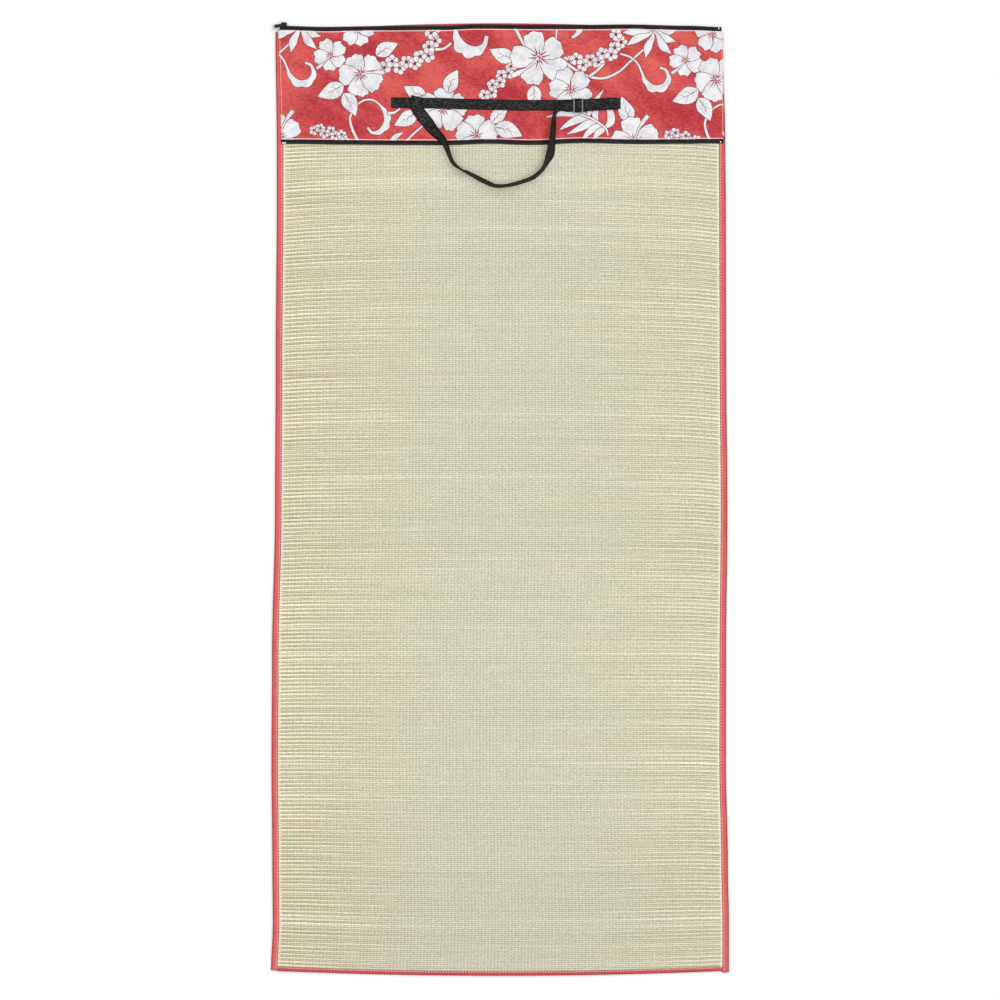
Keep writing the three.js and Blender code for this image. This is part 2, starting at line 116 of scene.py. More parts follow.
def flowing(knots: Sequence[Sequence[float]], steps: int) -> Points:
    """Smooth curve through rows of numbers.

    Args:
        knots: the rows that the curve goes through.
        steps: number of steps from one knot to the next.

    Returns:
        Rows along the curve, the knots among them.
    """
    rows = np.asarray(knots, float)
    rows = np.vstack([2 * rows[0] - rows[1], rows, 2 * rows[-1] - rows[-2]])
    t = np.linspace(0, 1, steps, endpoint=False)[:, None]
    spans = [
        (2 * b + (c - a) * t + (2 * a - 5 * b + 4 * c - d) * t**2 + (3 * b - a - 3 * c + d) * t**3) / 2
        for a, b, c, d in zip(rows, rows[1:], rows[2:], rows[3:])
    ]
    return np.vstack([*spans, rows[-2:-1]])


def measured(line: Points) -> np.ndarray:
    """Length along a line at each of its points."""
    return np.concatenate([[0], np.cumsum(np.linalg.norm(np.diff(line, axis=0), axis=1))])


def headings(line: Points) -> Points:
    """Unit direction of a line at each of its points."""
    ahead = np.gradient(line, axis=0)
    return ahead / np.linalg.norm(ahead, axis=1, keepdims=True)


def sampled(rows: Points, gone: np.ndarray, at: Any) -> Points:
    """Rows of numbers at lengths along a line, from those at its points."""
    return np.stack([np.interp(at, gone, column) for column in rows.T], -1)


# Meshes from arrays


def store(mesh: bpy.types.Mesh, name: str, values: np.ndarray, domain: str = "POINT") -> None:
    """Keeps one number, or one colour of four, for each point or face of a mesh.

    Args:
        mesh: the mesh.
        name: what the values are called.
        values: numbers, or rows of four.
        domain: POINT or FACE.
    """
    is_colour = values.ndim == 2
    layer = mesh.attributes.new(name, "FLOAT_COLOR" if is_colour else "FLOAT", domain)
    numbers = np.ascontiguousarray(values, np.float32).ravel()
    layer.data.foreach_set("color" if is_colour else "value", numbers)


def make_piece(
    name: str, points: Points, faces: Faces, values: dict | None = None, sharp: float = 50
) -> Piece:
    """Makes an object of a mesh.

    Args:
        name: the piece's name.
        points: its points, in millimetres.
        faces: point numbers of each face.
        values: named numbers or colours for the points.
        sharp: angle in degrees from which an edge stays sharp.

    Returns:
        The piece.
    """
    mesh = bpy.data.meshes.new(name)
    mesh.from_pydata((np.asarray(points) * MM).tolist(), [], faces)
    for key, numbers in (values or {}).items():
        store(mesh, key, numbers)
    mesh.shade_smooth()
    mesh.set_sharp_from_angle(angle=math.radians(sharp))
    piece = bpy.data.objects.new(name, mesh)
    bpy.context.scene.collection.objects.link(piece)
    return piece


def tubes(rings: Points) -> tuple[Points, Faces]:
    """Closed tubes through rings of points.

    Args:
        rings: points by tube, station along it, place round it, and axis.

    Returns:
        The points in the same order, and faces that point outwards.
    """
    count, stations, around, _ = rings.shape
    index = np.arange(count * stations * around).reshape(count, stations, around)
    near, far = index[:, :-1], index[:, 1:]
    walls = np.stack([near, np.roll(near, -1, 2), np.roll(far, -1, 2), far], -1).reshape(-1, 4)
    ends = np.concatenate([index[:, 0, ::-1], index[:, -1]])
    first = rings[0]
    spread = np.cross(np.roll(first, -1, 1) - first, first[:, [0]] - first).sum(1)
    inward = (spread[:-1] * np.diff(first.mean(1), axis=0)).sum() > 0
    faces = walls[:, ::-1].tolist() + ends[:, ::-1].tolist() if inward else walls.tolist() + ends.tolist()
    return rings.reshape(-1, 3), faces


def band(name: str, rings: Points, run: np.ndarray, section: Points) -> Piece:
    """Makes a woven band that keeps, for each point, how far along and across it lies.

    Args:
        name: the piece's name.
        rings: points by station, place round it, and axis.
        run: length along it at each station.
        section: its section, by how far across and how high.

    Returns:
        The piece.
    """
    points, faces = tubes(rings[None])
    values = {
        "run": np.broadcast_to(run[:, None], rings.shape[:2]).ravel(),
        "cross": np.broadcast_to(section[:, 0], rings.shape[:2]).ravel(),
    }
    return make_piece(name, points, faces, values)


def hand_in(piece: Piece, material: Material, slot: str, *nodes: str) -> Piece:
    """Finishes a piece.

    Args:
        piece: the finished mesh.
        material: its finish.
        slot: the material slot that it belongs to; not used.
        nodes: the solids that it stands for.

    Returns:
        The piece, riding on the mat.
    """
    piece.data.materials.clear()
    piece.data.materials.append(material)
    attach(piece, BODY)
    if nodes:
        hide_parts(*nodes)
    return piece


# Shader expressions


class Wire:
    """A shader socket that can stand in a Python expression."""

    def __init__(self, graph: "Graph", socket: bpy.types.NodeSocket | None) -> None:
        """Wraps one output socket of a graph, or none behind its last node."""
        self.graph = graph
        self.socket = socket

    def math(self, operation: str, *values: Any) -> "Wire":
        """A Math node on these values."""
        return self.graph.node("ShaderNodeMath", {"operation": operation}, dict(enumerate(values)))

    def __add__(self, other: Any) -> "Wire":
        """Sum."""
        return self.math("ADD", self, other)

    def __radd__(self, other: Any) -> "Wire":
        """Sum, from the right."""
        return self.math("ADD", other, self)

    def __sub__(self, other: Any) -> "Wire":
        """Difference."""
        return self.math("SUBTRACT", self, other)

    def __rsub__(self, other: Any) -> "Wire":
        """Difference, from the right."""
        return self.math("SUBTRACT", other, self)

    def __mul__(self, other: Any) -> "Wire":
        """Product."""
        return self.math("MULTIPLY", self, other)

    def __rmul__(self, other: Any) -> "Wire":
        """Product, from the right."""
        return self.math("MULTIPLY", other, self)

    def __abs__(self) -> "Wire":
        """Size without sign."""
        return self.math("ABSOLUTE", self)

    def wave(self, pitch: float) -> "Wire":
        """Even wave from 0 to 1 with this pitch."""
        return 0.5 + 0.5 * self.math("SINE", self * (2 * math.pi / pitch))

    def rise(self, start: float, end: float) -> "Wire":
        """Soft rise from 0 to 1 as the value goes from start to end."""
        settings = {"interpolation_type": "SMOOTHSTEP"}
        return self.graph.node("ShaderNodeMapRange", settings, {0: self, 1: start, 2: end})


class Graph:
    """Nodes of one material."""

    def __init__(self, name: str) -> None:
        """Starts a material with an empty node tree.

        Args:
            name: the material's name.
        """
        self.material = bpy.data.materials.new(name)
        self.material.use_nodes = True
        self.tree = self.material.node_tree
        self.tree.nodes.clear()

    def node(self, kind: str, settings: dict, inputs: dict, output: int | str = 0) -> Wire:
        """Adds a node.

        Args:
            kind: its type.
            settings: its own settings, set before its sockets.
            inputs: values or wires of its sockets, by name or number.
            output: which of its outputs is wanted.

        Returns:
            That output.
        """
        made = self.tree.nodes.new(kind)
        for key, value in settings.items():
            setattr(made, key, value)
        for key, value in inputs.items():
            if isinstance(value, Wire):
                self.tree.links.new(value.socket, made.inputs[key])
            else:
                made.inputs[key].default_value = value
        return Wire(self, made.outputs[output] if made.outputs else None)

    def value(self, name: str) -> Wire:
        """A number that the mesh keeps."""
        return self.node("ShaderNodeAttribute", {"attribute_name": name}, {}, "Fac")

    def tint(self, name: str) -> Wire:
        """A colour that the mesh keeps."""
        return self.node("ShaderNodeAttribute", {"attribute_name": name}, {}, "Color")

    def axis(self, name: str) -> Wire:
        """One of the object coordinates, in millimetres."""
        where = self.node("ShaderNodeTexCoord", {}, {}, "Object")
        return self.node("ShaderNodeSeparateXYZ", {}, {0: where}, name) * (1 / MM)

    def noise(self, scale: Sequence[float], detail: float = 3, rough: float = 0.5, turn: float = 0) -> Wire:
        """Noise from about 0 to 1, turned about the upright and then scaled.

        Args:
            scale: repeats for each metre along X, Y and Z.
            detail: number of finer layers.
            rough: strength of the finer layers.
            turn: the turn in degrees.

        Returns:
            The noise.
        """
        where = self.node("ShaderNodeTexCoord", {}, {}, "Object")
        turned = self.node("ShaderNodeMapping", {}, {"Vector": where, "Rotation": (0, 0, math.radians(turn))})
        place = self.node("ShaderNodeMapping", {}, {"Vector": turned, "Scale": scale})
        inputs = {"Vector": place, "Scale": 1, "Detail": detail, "Roughness": rough}
        return self.node("ShaderNodeTexNoise", {}, inputs, "Fac")

    def mix(self, share: Any, first: Any, second: Any, how: str = "MIX") -> Wire:
        """Mix of two colours."""
        settings = {"data_type": "RGBA", "blend_type": how}
        return self.node("ShaderNodeMix", settings, {0: share, 6: first, 7: second}, 2)

    def grey(self, level: Wire) -> Wire:
        """A number as a grey, to multiply a colour with."""
        return self.node("ShaderNodeCombineColor", {}, {0: level, 1: level, 2: level})

    def shaded(self, colour: Any, level: Wire) -> Wire:
        """A colour made lighter or darker by a number."""
        return self.mix(1.0, colour, self.grey(level), "MULTIPLY")

    def finish(
        self, base: Wire, rough: Any, relief: Wire, depth: float, metal: Any = 0.0, **fixed: float
    ) -> Material:
        """Ends the graph in one shader.

        Args:
            base: colour.
            rough: roughness.
            relief: height of the fine relief, from 0 to 1.
            depth: what a height of 1 measures, in millimetres.
            metal: metallic share.
            fixed: settings that are the same all over, by socket name with _ for each space.

        Returns:
            The material.
        """
        bump = self.node("ShaderNodeBump", {}, {"Height": relief, "Distance": depth * MM, "Strength": 1.0})
        inputs = {"Base Color": base, "Roughness": rough, "Metallic": metal, "Normal": bump}
        inputs |= {key.replace("_", " "): value for key, value in fixed.items()}
        shader = self.node("ShaderNodeBsdfPrincipled", {}, inputs)
        self.node("ShaderNodeOutputMaterial", {}, {"Surface": shader})
        return self.material


# Finishes


@dataclass(frozen=True)
class RushFinish:
    """Dry split rush: silky stems with fine grain, with painted shade in the grooves where they meet, where a
    string pinches them and along each string's column.
    """

    # Painted shade where a string pinches a stem, and along each string's column, as shares of the light
    pinch_shade: float = 0.1
    warp: float = 0.15
    speckle: float = 0.75
    grain: Sequence[float] = (25, 1900, 1900)

    def material(self) -> Material:
        """Builds the finish.

        Returns:
            The material.
        """
        g = Graph("rush")
        fibre = g.noise(self.grain, 4, 0.6)
        blotch = g.noise((30, 160, 160), 2)
        speck = g.noise((180, 320, 320), 2, 0.65)
        string = g.value("thread")
        # Painted shade at the strings: darker where a string passes over a stem and along every string's
        # column; the pinch also dents the relief
        pinched = string.wave(2.0).rise(0.8, 1.0)
        drawn = string.wave(1.0).rise(0.5, 1.0) * g.value("even")
        # The mesh's shade value is painted shade in the grooves between stems
        light = g.value("shade") * (0.88 + 0.24 * fibre) * (0.93 + 0.14 * blotch)
        light = light * (1 - self.speckle / 2 + self.speckle * speck)
        light = light * (1 - self.pinch_shade * pinched) * (1 - self.warp * drawn)
        relief = 0.5 * fibre - 0.5 * pinched
        colour = g.shaded(g.tint("tint"), light)
        return g.finish(colour, 0.5 + 0.3 * fibre, relief, 0.25, Specular_IOR_Level=0.35, Sheen_Weight=0.1)


@dataclass(frozen=True)
class ThreadFinish:
    """Twisted sewing thread or warp string."""

    name: str
    light: Colour
    dark: Colour

    def material(self) -> Material:
        """Builds the finish.

        Returns:
            The material.
        """
        g = Graph(self.name)
        twist = g.noise((900, 900, 900), 2)
        return g.finish(g.mix(twist, self.dark, self.light), 0.6 + 0.2 * twist, twist, 0.1, Sheen_Weight=0.2)


@dataclass(frozen=True)
class BindingFinish:
    """Red woven tape with painted light and shade: lighter on its crown and darker towards its edges, with
    painted shade at the fold, along its inner edge and at the needle holes.
    """

    name: str = "binding_tape"
    # light and deep span the red from the painted lit crown to the painted shaded sides, with random mottle
    # between; dark is the painted shade at the fold, inner edge and needle holes
    light: Colour = srgb(217, 92, 87)
    deep: Colour = srgb(184, 44, 53)
    dark: Colour = srgb(124, 26, 42)
    width: float = 12
    rib: float = 1.3
    holes: float = 5.4

    def material(self) -> Material:
        """Builds the finish.

        Returns:
            The material.
        """
        g = Graph(self.name)
        across, run = g.value("across"), g.value("run")
        mottle = g.noise((60, 60, 60))
        weave = run.wave(self.rib) * 0.5 + (across * self.width).wave(self.rib) * 0.5
        # Painted light and shade: lighter on the crown, darker towards the fold and towards the inner edge
        crown = across.rise(0.02, 0.3) * (1 - 0.5 * across.rise(0.86, 1.0))
        level = crown * 0.75 + (mottle - 0.5) * 0.9 + 0.1 * weave
        # Painted shade at the fold, along the inner edge, and at the needle holes where the stitches pucker
        # the tape
        fold_shade = 1 - across.rise(0.0, 0.34)
        rim = across.rise(0.88, 0.98)
        pucker_shade = run.wave(self.holes).rise(0.7, 1.0) * across.rise(0.74, 0.84)
        red = g.mix(level.rise(0.0, 1.0), self.deep, self.light)
        colour = g.mix((fold_shade * 0.5 + pucker_shade * 0.75 + rim * 0.5).rise(0.0, 1.0), red, self.dark)
        return g.finish(colour, 0.6 + 0.2 * mottle, weave, 0.12, Sheen_Weight=0.15)


@dataclass(frozen=True)
class PrintFinish:
    """Printed cotton: a red ground with painted crease shade in soft diagonal streaks and random flecks,
    white flowers with a cool wash, thin dark lines.
    """

    # The red ground runs from bright to deep, and is deep where the painted crease shade is darkest
    bright: Colour = srgb(221, 89, 81)
    deep: Colour = srgb(172, 10, 36)
    white: Colour = srgb(236, 235, 237)
    wash: Colour = srgb(198, 199, 206)
    line: Colour = srgb(138, 26, 44)
    yarn: float = 0.55

    def material(self) -> Material:
        """Builds the finish.

        Returns:
            The material.
        """
        g = Graph("printed_cloth")
        ink = g.tint("ink")
        is_white = g.node("ShaderNodeSeparateColor", {}, {0: ink}, 0)
        is_line = g.node("ShaderNodeSeparateColor", {}, {0: ink}, 1)
        # Painted crease shade: soft diagonal streaks that darken the red ground, mixed with random cloud and
        # flecks
        crease_shade = g.noise((7, 22, 20), 4, 0.55, turn=32)
        cloud = g.noise((28, 40, 30), turn=-20)
        patchy = g.noise((60, 60, 60))
        fleck = g.noise((130, 260, 200), 3, 0.6, turn=8)
        weave = g.axis("X").wave(self.yarn) * 0.5 + g.axis("Y").wave(self.yarn) * 0.5
        ground = g.mix((crease_shade * 0.5 + cloud * 0.15 + fleck * 0.35).rise(0.36, 0.64), self.deep, self.bright)
        white = g.mix((patchy * 0.45 + cloud * 0.25 + fleck * 0.3).rise(0.4, 0.68), self.white, self.wash)
        ink_colour = g.mix(is_line, g.mix(is_white, ground, white), self.line)
        colour = g.shaded(ink_colour, 0.97 + 0.06 * weave)
        return g.finish(colour, 0.62 + 0.16 * cloud, weave, 0.05, Sheen_Weight=0.1)


@dataclass(frozen=True)
class WebbingFinish:
    """Black webbing or tape, ribbed across its run, with painted shade from a place near its selvedges out to
    them.
    """

    name: str
    rib: float
    cord: float
    # Where the painted shade towards the selvedges starts, and how far it takes to reach full
    selvedge: float
    light: Colour = srgb(76, 74, 74)
    dark: Colour = srgb(7, 7, 7)
    fade: float = 1.4

    def material(self) -> Material:
        """Builds the finish.

        Returns:
            The material.
        """
        g = Graph(self.name)
        ribs, cords = g.value("run").wave(self.rib), g.value("cross").wave(self.cord)
        dust = g.noise((150, 330, 330), 4, 0.7)
        weave = ribs * 0.6 + cords * 0.4
        # Painted shade along the selvedges
        edge = abs(g.value("cross")).rise(self.selvedge, self.selvedge + self.fade)
        level = weave * 0.3 + (dust - 0.5) * 4.2 + 0.06 - 0.7 * edge
        colour = g.mix(level.rise(0.0, 1.0), self.dark, self.light)
        return g.finish(colour, 0.65 + 0.2 * dust, weave, 0.2, Specular_IOR_Level=0.25)


@dataclass(frozen=True)
class HardFinish:
    """Moulded plastic, enamel or metal with fine scuffs, wearing through to bare metal past one place along
    X, with painted highlight lines at a few places along X.
    """

    name: str
    base: Colour
    scuffed: Colour
    rough: float
    metal: float = 0.0
    shine: float = 0.5
    # Colour of bare metal where the enamel wears through, and of painted highlight lines
    worn_and_highlit: Colour | None = None
    worn_from: float = 0.0
    worn_to: float = 0.0
    ragged: float = 1.5
    # X of painted highlight lines, where light catches an edge, and how each fades from its middle
    rubbed_and_highlit: tuple = ()
    highlight_falloff: tuple = (0.3, 0.9)

    def material(self) -> Material:
        """Builds the finish.

        Returns:
            The material.
        """
        g = Graph(self.name)
        scuff = g.noise((400, 700, 400), 4, 0.6)
        grain = g.noise((2500, 2500, 2500), 2)
        colour: Any = g.mix(scuff.rise(0.45, 0.75), self.base, self.scuffed)
        metal: Any = self.metal
        if self.worn_from:
            bare = (g.axis("X") + self.ragged * (scuff - 0.5)).rise(self.worn_from, self.worn_to)
            colour = g.mix(bare, colour, self.worn_and_highlit)
            metal = self.metal + (1 - self.metal) * bare
        # Painted highlights: pale lines along X at the given places, where light catches the edges
        for place in self.rubbed_and_highlit:
            near = 1 - abs(g.axis("X") - place).rise(*self.highlight_falloff)
            colour = g.mix(near * (0.7 + 0.5 * scuff), colour, self.worn_and_highlit)
        rough = self.rough + 0.2 * scuff
        return g.finish(colour, rough, grain, 0.02, metal, Specular_IOR_Level=self.shine)


@dataclass(frozen=True)
class FloorFinish:
    """Plain pale studio floor."""

    base: Colour = srgb(250, 250, 250)
    soft: Colour = srgb(246, 246, 247)

    def material(self) -> Material:
        """Builds the finish.

        Returns:
            The material.
        """
        g = Graph("studio_floor")
        cloud = g.noise((2, 2, 2), 2)
        return g.finish(g.mix(cloud, self.base, self.soft), 0.8 + 0.1 * cloud, cloud, 0.01)


# Where things lie


@dataclass(frozen=True)
class MatPlan:
    """Outline, rows and layers of the mat, as in the solids."""

    foot: float = -890
    head: float = 881
    rush: float = 3.2
    gap: float = 0.3
    cloth: float = 1
    binding: float = 12
    binding_foot: float = 8
    tail_left: float = -1
    tail_right: float = 3
    edge_gap: float = 0.4
    panel_left: tuple = (-412.5, -418)
    panel_right: tuple = (422.5, 420.5)
    zip_shows: float = 8.3
    zip_upper: float = 893
    zip_lower: float = 669.5
    rise_from: float = 372
    rise_to: float = 396
    # Along, left side, right side, and how far a row's middle lies ahead of its ends
    outline: tuple = (
        (-893, -432, 432, -9.5),
        (-800, -428.5, 432, -8),
        (-690, -429.5, 430, -6),
        (-500, -431, 426.3, -3),
        (-300, -430, 426.6, 0),
        (-20, -424.4, 429, 4),
        (260, -423, 426.8, 8),
        (560, -421, 426, 12),
        (660, -421, 425.2, 6),
        (890, -423.6, 420, 16.5),
    )
    # X, and how far the zip's outer edge strays there
    upper_wander: tuple = (
        (-415, -0.2),
        (-330, -2.2),
        (-215, -0.5),
        (-105, 0.1),
        (-45, 2.6),
        (65, 1.7),
        (160, 1.6),
        (240, 2.4),
        (350, 0),
        (425, -2.7),
    )
    lower_wander: tuple = (
        (-415, 0.4),
        (-190, -1.5),
        (-110, -1.9),
        (-20, 0.9),
        (55, -1.5),
        (160, 2.3),
        (265, 0.4),
        (425, 1.3),
    )
    # X, and the middle of the base band
    base_line: tuple = (
        (-206, 747.6),
        (-124.5, 746.9),
        (-49, 744.6),
        (41.5, 742.8),
        (86.8, 743),
        (228, 746),
    )

    @property
    def layer(self) -> float:
        """One thickness of cloth lying on another."""
        return self.cloth + self.gap

    @property
    def binding_top(self) -> float:
        """Upper face of the bindings."""
        return self.rush + self.gap + self.cloth

    def left(self, along: Any) -> Any:
        """X of the left side."""
        return eased(along, self.outline, 1)

    def right(self, along: Any) -> Any:
        """X of the right side."""
        return eased(along, self.outline, 2)

    def across(self, x: Any, along: Any) -> Any:
        """How far across the mat x is, from -1 at its left side to 1 at its right."""
        left, right = self.left(along), self.right(along)
        return (2 * x - left - right) / (right - left)

    def laid(self, x: Any, along: Any) -> Any:
        """Y of a place on a row, whose middle lies ahead of or behind its ends."""
        return along + eased(along, self.outline, 3) * (1 - self.across(x, along) ** 2)

    def upper_zip(self, x: Any) -> Any:
        """Outer edge of the upper zip half."""
        return self.zip_upper + eased(x, self.upper_wander, 1)

    def lower_zip(self, x: Any) -> Any:
        """Outer edge of the lower zip half."""
        return self.zip_lower + eased(x, self.lower_wander, 1)

    def side_rise(self, x: Any) -> Any:
        """How far the panel and lower zip climb on to the side bindings."""
        return self.layer * smooth(np.abs(x), self.rise_from, self.rise_to)

    def strap(self, x: Any) -> Any:
        """Middle of the base band."""
        return eased(x, self.base_line, 1)


# The rush


@dataclass
class RushMat:
    """Rush stems laid in pairs, butt to tip, with warp strings passing over and under them."""

    plan: MatPlan
    pair: float = 7.3
    uneven: float = 1.6
    taper: float = 2.0
    full: float = 2.85
    swell: float = 0.4
    thinnest: float = 1.9
    lean: tuple = (0.3, 1.25)
    ripple: float = 0.17
    ripples: tuple = (0.0035, 0.009, 0.021)
    strings: int = 136
    string_half: float = 0.35
    string_bend: tuple = ((-0.82, 0.5), (0, 1.02), (0.82, 0.5))
    string_lift: float = 0.06
    string_room: float = 0.2
    stations: int = 21
    past_binding: tuple = (0.8, 3.2, 5.4)
    flat_stations: tuple = (0, 1, -2, -1)
    pale_stations: tuple = (0, 1, 2, -3, -2, -1)
    first_open: int = 3
    pressed_past: float = 2.5
    seed: int = 5
    around: int = 6
    side_reach: float = 0.98
    crown_centre: float = 0.84
    lift_centre: float = 0.45
    crown_side: float = 0.6
    crown_power: float = 1.7
    # Painted shade in the grooves between stems, as shares of the light lost: in the middle, at the left and
    # right sides, inside and between pairs
    groove_centre: float = 0.06
    groove_left: float = 0.52
    groove_right: float = 0.24
    groove_inside: tuple = (0.6, 1.15)
    groove_between: tuple = (0, 0.45)
    groove_weak: float = 0.35
    weak_share: float = 0.25
    # How much the painted shade along the string columns weakens towards the left and right sides
    loose_left: float = 0.5
    loose_right: float = 0.8
    milder_right: float = 0.36
    droop_left: float = 2.2
    droop_right: float = 4.3
    droop_from: float = 0.8
    held_foot: tuple = (-860, -700)
    held_head: tuple = (875, 835)
    foot_dark: float = 0.06
    foot_shade: tuple = (-450, -850)
    centre_tint: Colour = srgb(221, 219, 196)
    butt_tint: Colour = srgb(244, 237, 208)
    tip_tint: Colour = srgb(204, 196, 158)
    end_tint: Colour = srgb(255, 248, 226)
    odd_tints: tuple = (srgb(208, 216, 186), srgb(236, 214, 192), srgb(238, 226, 168), srgb(252, 247, 230))
    odd_most: float = 0.75
    tone: float = 0.04
    tint_power: float = 1.4
    thick_half: tuple = (1.2, 2.4)
    centres: Points = field(init=False)
    halves: Points = field(init=False)
    columns: Points = field(init=False)
    # Painted shade of each groove, by groove and station
    grooves: Points = field(init=False)

    def lay_rows(self) -> None:
        """Works out each row's middle line, half height and painted groove shade at stations across the mat.
        """
        plan, chance = self.plan, np.random.default_rng(self.seed)
        pressed = plan.cloth + plan.edge_gap
        start, end = plan.foot + pressed, plan.head - pressed
        pairs = int((end - start) / self.pair)
        along = start + self.pair * np.arange(pairs + 1)[:, None]
        left, right = plan.left(along), plan.right(along)
        edge = np.array([pressed, *(plan.binding + past for past in self.past_binding)])
        inner = np.linspace(0, 1, self.stations)[1:-1]
        low, high = left + edge[-1], right - edge[-1]
        x = np.hstack([left + edge, low + (high - low) * inner, right - edge[::-1]])
        s = plan.across(x, along)
        lean = np.sign(s) * np.abs(s) ** self.taper * chance.uniform(*self.lean, (pairs + 1, 1)) * self.uneven
        count = 2 * pairs + 1
        borders = np.empty((count, x.shape[1]))
        borders[0::2] = along
        borders[1::2] = (along + self.pair / 2 - lean)[:-1]
        phase = chance.uniform(0, 2 * math.pi, (count, 3))
        xs = np.repeat(x, 2, 0)[:count]
        waves = np.sin(xs[..., None] * np.array(self.ripples) * 2 * math.pi + phase[:, None])
        borders += self.ripple * waves.sum(-1)
        middle, width = (borders[1:] + borders[:-1]) / 2, np.diff(borders, axis=0)
        self.columns = xs[:-1]
        self.grooves = self.painted_groove_shade(np.repeat(s, 2, 0)[:count], chance)
        height = np.clip(self.full + self.swell * (width - self.pair / 2), self.thinnest, plan.rush)
        flat = np.zeros_like(height, bool)
        flat[:, list(self.flat_stations)] = True
        flat |= middle < plan.foot + plan.binding_foot + self.pressed_past
        flat |= middle > plan.head - plan.binding - self.pressed_past
        height = np.where(flat, plan.rush - plan.layer, height)
        low = np.where(flat, plan.layer, (plan.rush - height) / 2)
        y = plan.laid(self.columns, middle) - self.droop(self.columns, middle)
        self.centres = np.stack([self.columns, y, low + height / 2], -1)
        self.halves = np.stack([width / 2, height / 2], -1)

    def droop(self, x: Points, along: Points) -> Points:
        """How far the stems' ends hang towards the foot, except near the foot, where the tape holds them.

        Args:
            x: places across the mat.
            along: the rows' places along it.

        Returns:
            Distances towards the foot.
        """
        s = self.plan.across(x, along)
        most = np.where(s < 0, self.droop_left, self.droop_right)
        outward = np.clip((np.abs(s) - self.droop_from) / (1 - self.droop_from), 0, 1)
        return most * outward**2 * smooth(along, *self.held_foot) * smooth(along, *self.held_head)

    def painted_groove_shade(self, s: Points, chance: np.random.Generator) -> Points:
        """Painted shade in each groove: faint in the middle, and at the sides strong inside a pair, faint
        outside.

        Args:
            s: how far across the mat each groove's stations are.
            chance: the seeded chances.

        Returns:
            Shares of the light that are lost, by groove and station.
        """
        count = len(s)
        is_weak = chance.random(count) < self.weak_share
        strong = np.where(is_weak, self.groove_weak, chance.uniform(*self.groove_inside, count))
        faint = chance.uniform(*self.groove_between, count)
        strength = np.where(np.arange(count) % 2, strong, faint)[:, None]
        side = np.abs(s) ** self.crown_power
        most = np.where(s < 0, self.groove_left, self.groove_right)
        return self.groove_centre * (1 - side) + most * side * strength + 0.25 * most * side * (1 - side)

    def tints(self) -> Points:
        """Colours the rows: paler at a butt end, greener at a tip, even in the middle.

        Returns:
            Colours by row and station.
        """
        chance = np.random.default_rng(self.seed + 1)
        rows, stations = self.columns.shape
        across = self.plan.across(self.columns, self.centres[..., 1])[..., None]
        s = np.abs(across) ** self.tint_power * (1 - self.milder_right * smooth(across, 0, 0.5))
        thick = smooth(self.halves[..., 0], *self.thick_half)[..., None]
        centre, butt, tip = np.array(self.centre_tint), np.array(self.butt_tint), np.array(self.tip_tint)
        tint = centre + (tip + (butt - tip) * thick - centre) * s
        odd = np.array(self.odd_tints)[chance.integers(0, len(self.odd_tints), rows)][:, None]
        share = (chance.random(rows) ** 3 * self.odd_most)[:, None, None]
        fade = 0.5 + 0.5 * np.sin(np.linspace(0, 1, stations)[None] * 7 + chance.uniform(0, 6, (rows, 1)))
        tint = tint + (odd - tint) * share * fade[..., None] * (0.5 + 0.5 * s)
        tint = tint * (1 + chance.normal(0, self.tone, (rows, 1, 1)) * (0.4 + 0.6 * s))
        tint[:, list(self.pale_stations)] = self.end_tint
        return tint * (1 - self.foot_dark * smooth(self.centres[..., 1:2], *self.foot_shade))

    def build_rows(self) -> Piece:
        """Makes the stems, each a tube with six sides and a flat top and underside.

        Returns:
            The piece.
        """
        turn = np.arange(self.around) * 2 * math.pi / self.around
        cos, sin = np.cos(turn), np.sin(turn)
        s = self.plan.across(self.columns, self.centres[..., 1])
        outward = np.abs(s) ** self.crown_power
        crown = self.crown_centre + (self.crown_side - self.crown_centre) * outward
        is_side = np.abs(cos) > FACING
        rings = np.repeat(self.centres[:, :, None], self.around, 2)
        reach = np.where(is_side, self.side_reach * cos, np.sign(cos) * crown[..., None])
        rings[..., 1] += self.halves[..., None, 0] * reach
        lift = np.where(is_side, self.lift_centre * (1 - outward[..., None]), sin / math.sin(math.pi / 3))
        rings[..., 2] += self.halves[..., None, 1] * lift
        points, faces = tubes(rings)
        # Painted groove shade: each stem's side points take the darkness of the groove beside them
        lost = np.where(cos > 0, self.grooves[1:, :, None], self.grooves[:-1, :, None])
        string = s * self.strings / 2 + np.arange(len(rings))[:, None]
        # Strength of the painted shade along the string columns: full in the middle, less at the sides
        even = 1 - outward * np.where(s < 0, self.loose_left, self.loose_right)
        values = {
            "tint": np.repeat(self.tints()[:, :, None], self.around, 2).reshape(-1, 4),
            "shade": (1 - lost * is_side).ravel(),
            "even": np.repeat(even[:, :, None], self.around, 2).ravel(),
            "thread": np.repeat(string[:, :, None], self.around, 2).ravel(),
        }
        piece = make_piece("rush_rows", points, faces, values, sharp=120)
        return hand_in(piece, RushFinish().material(), "rush", "straw_mat")

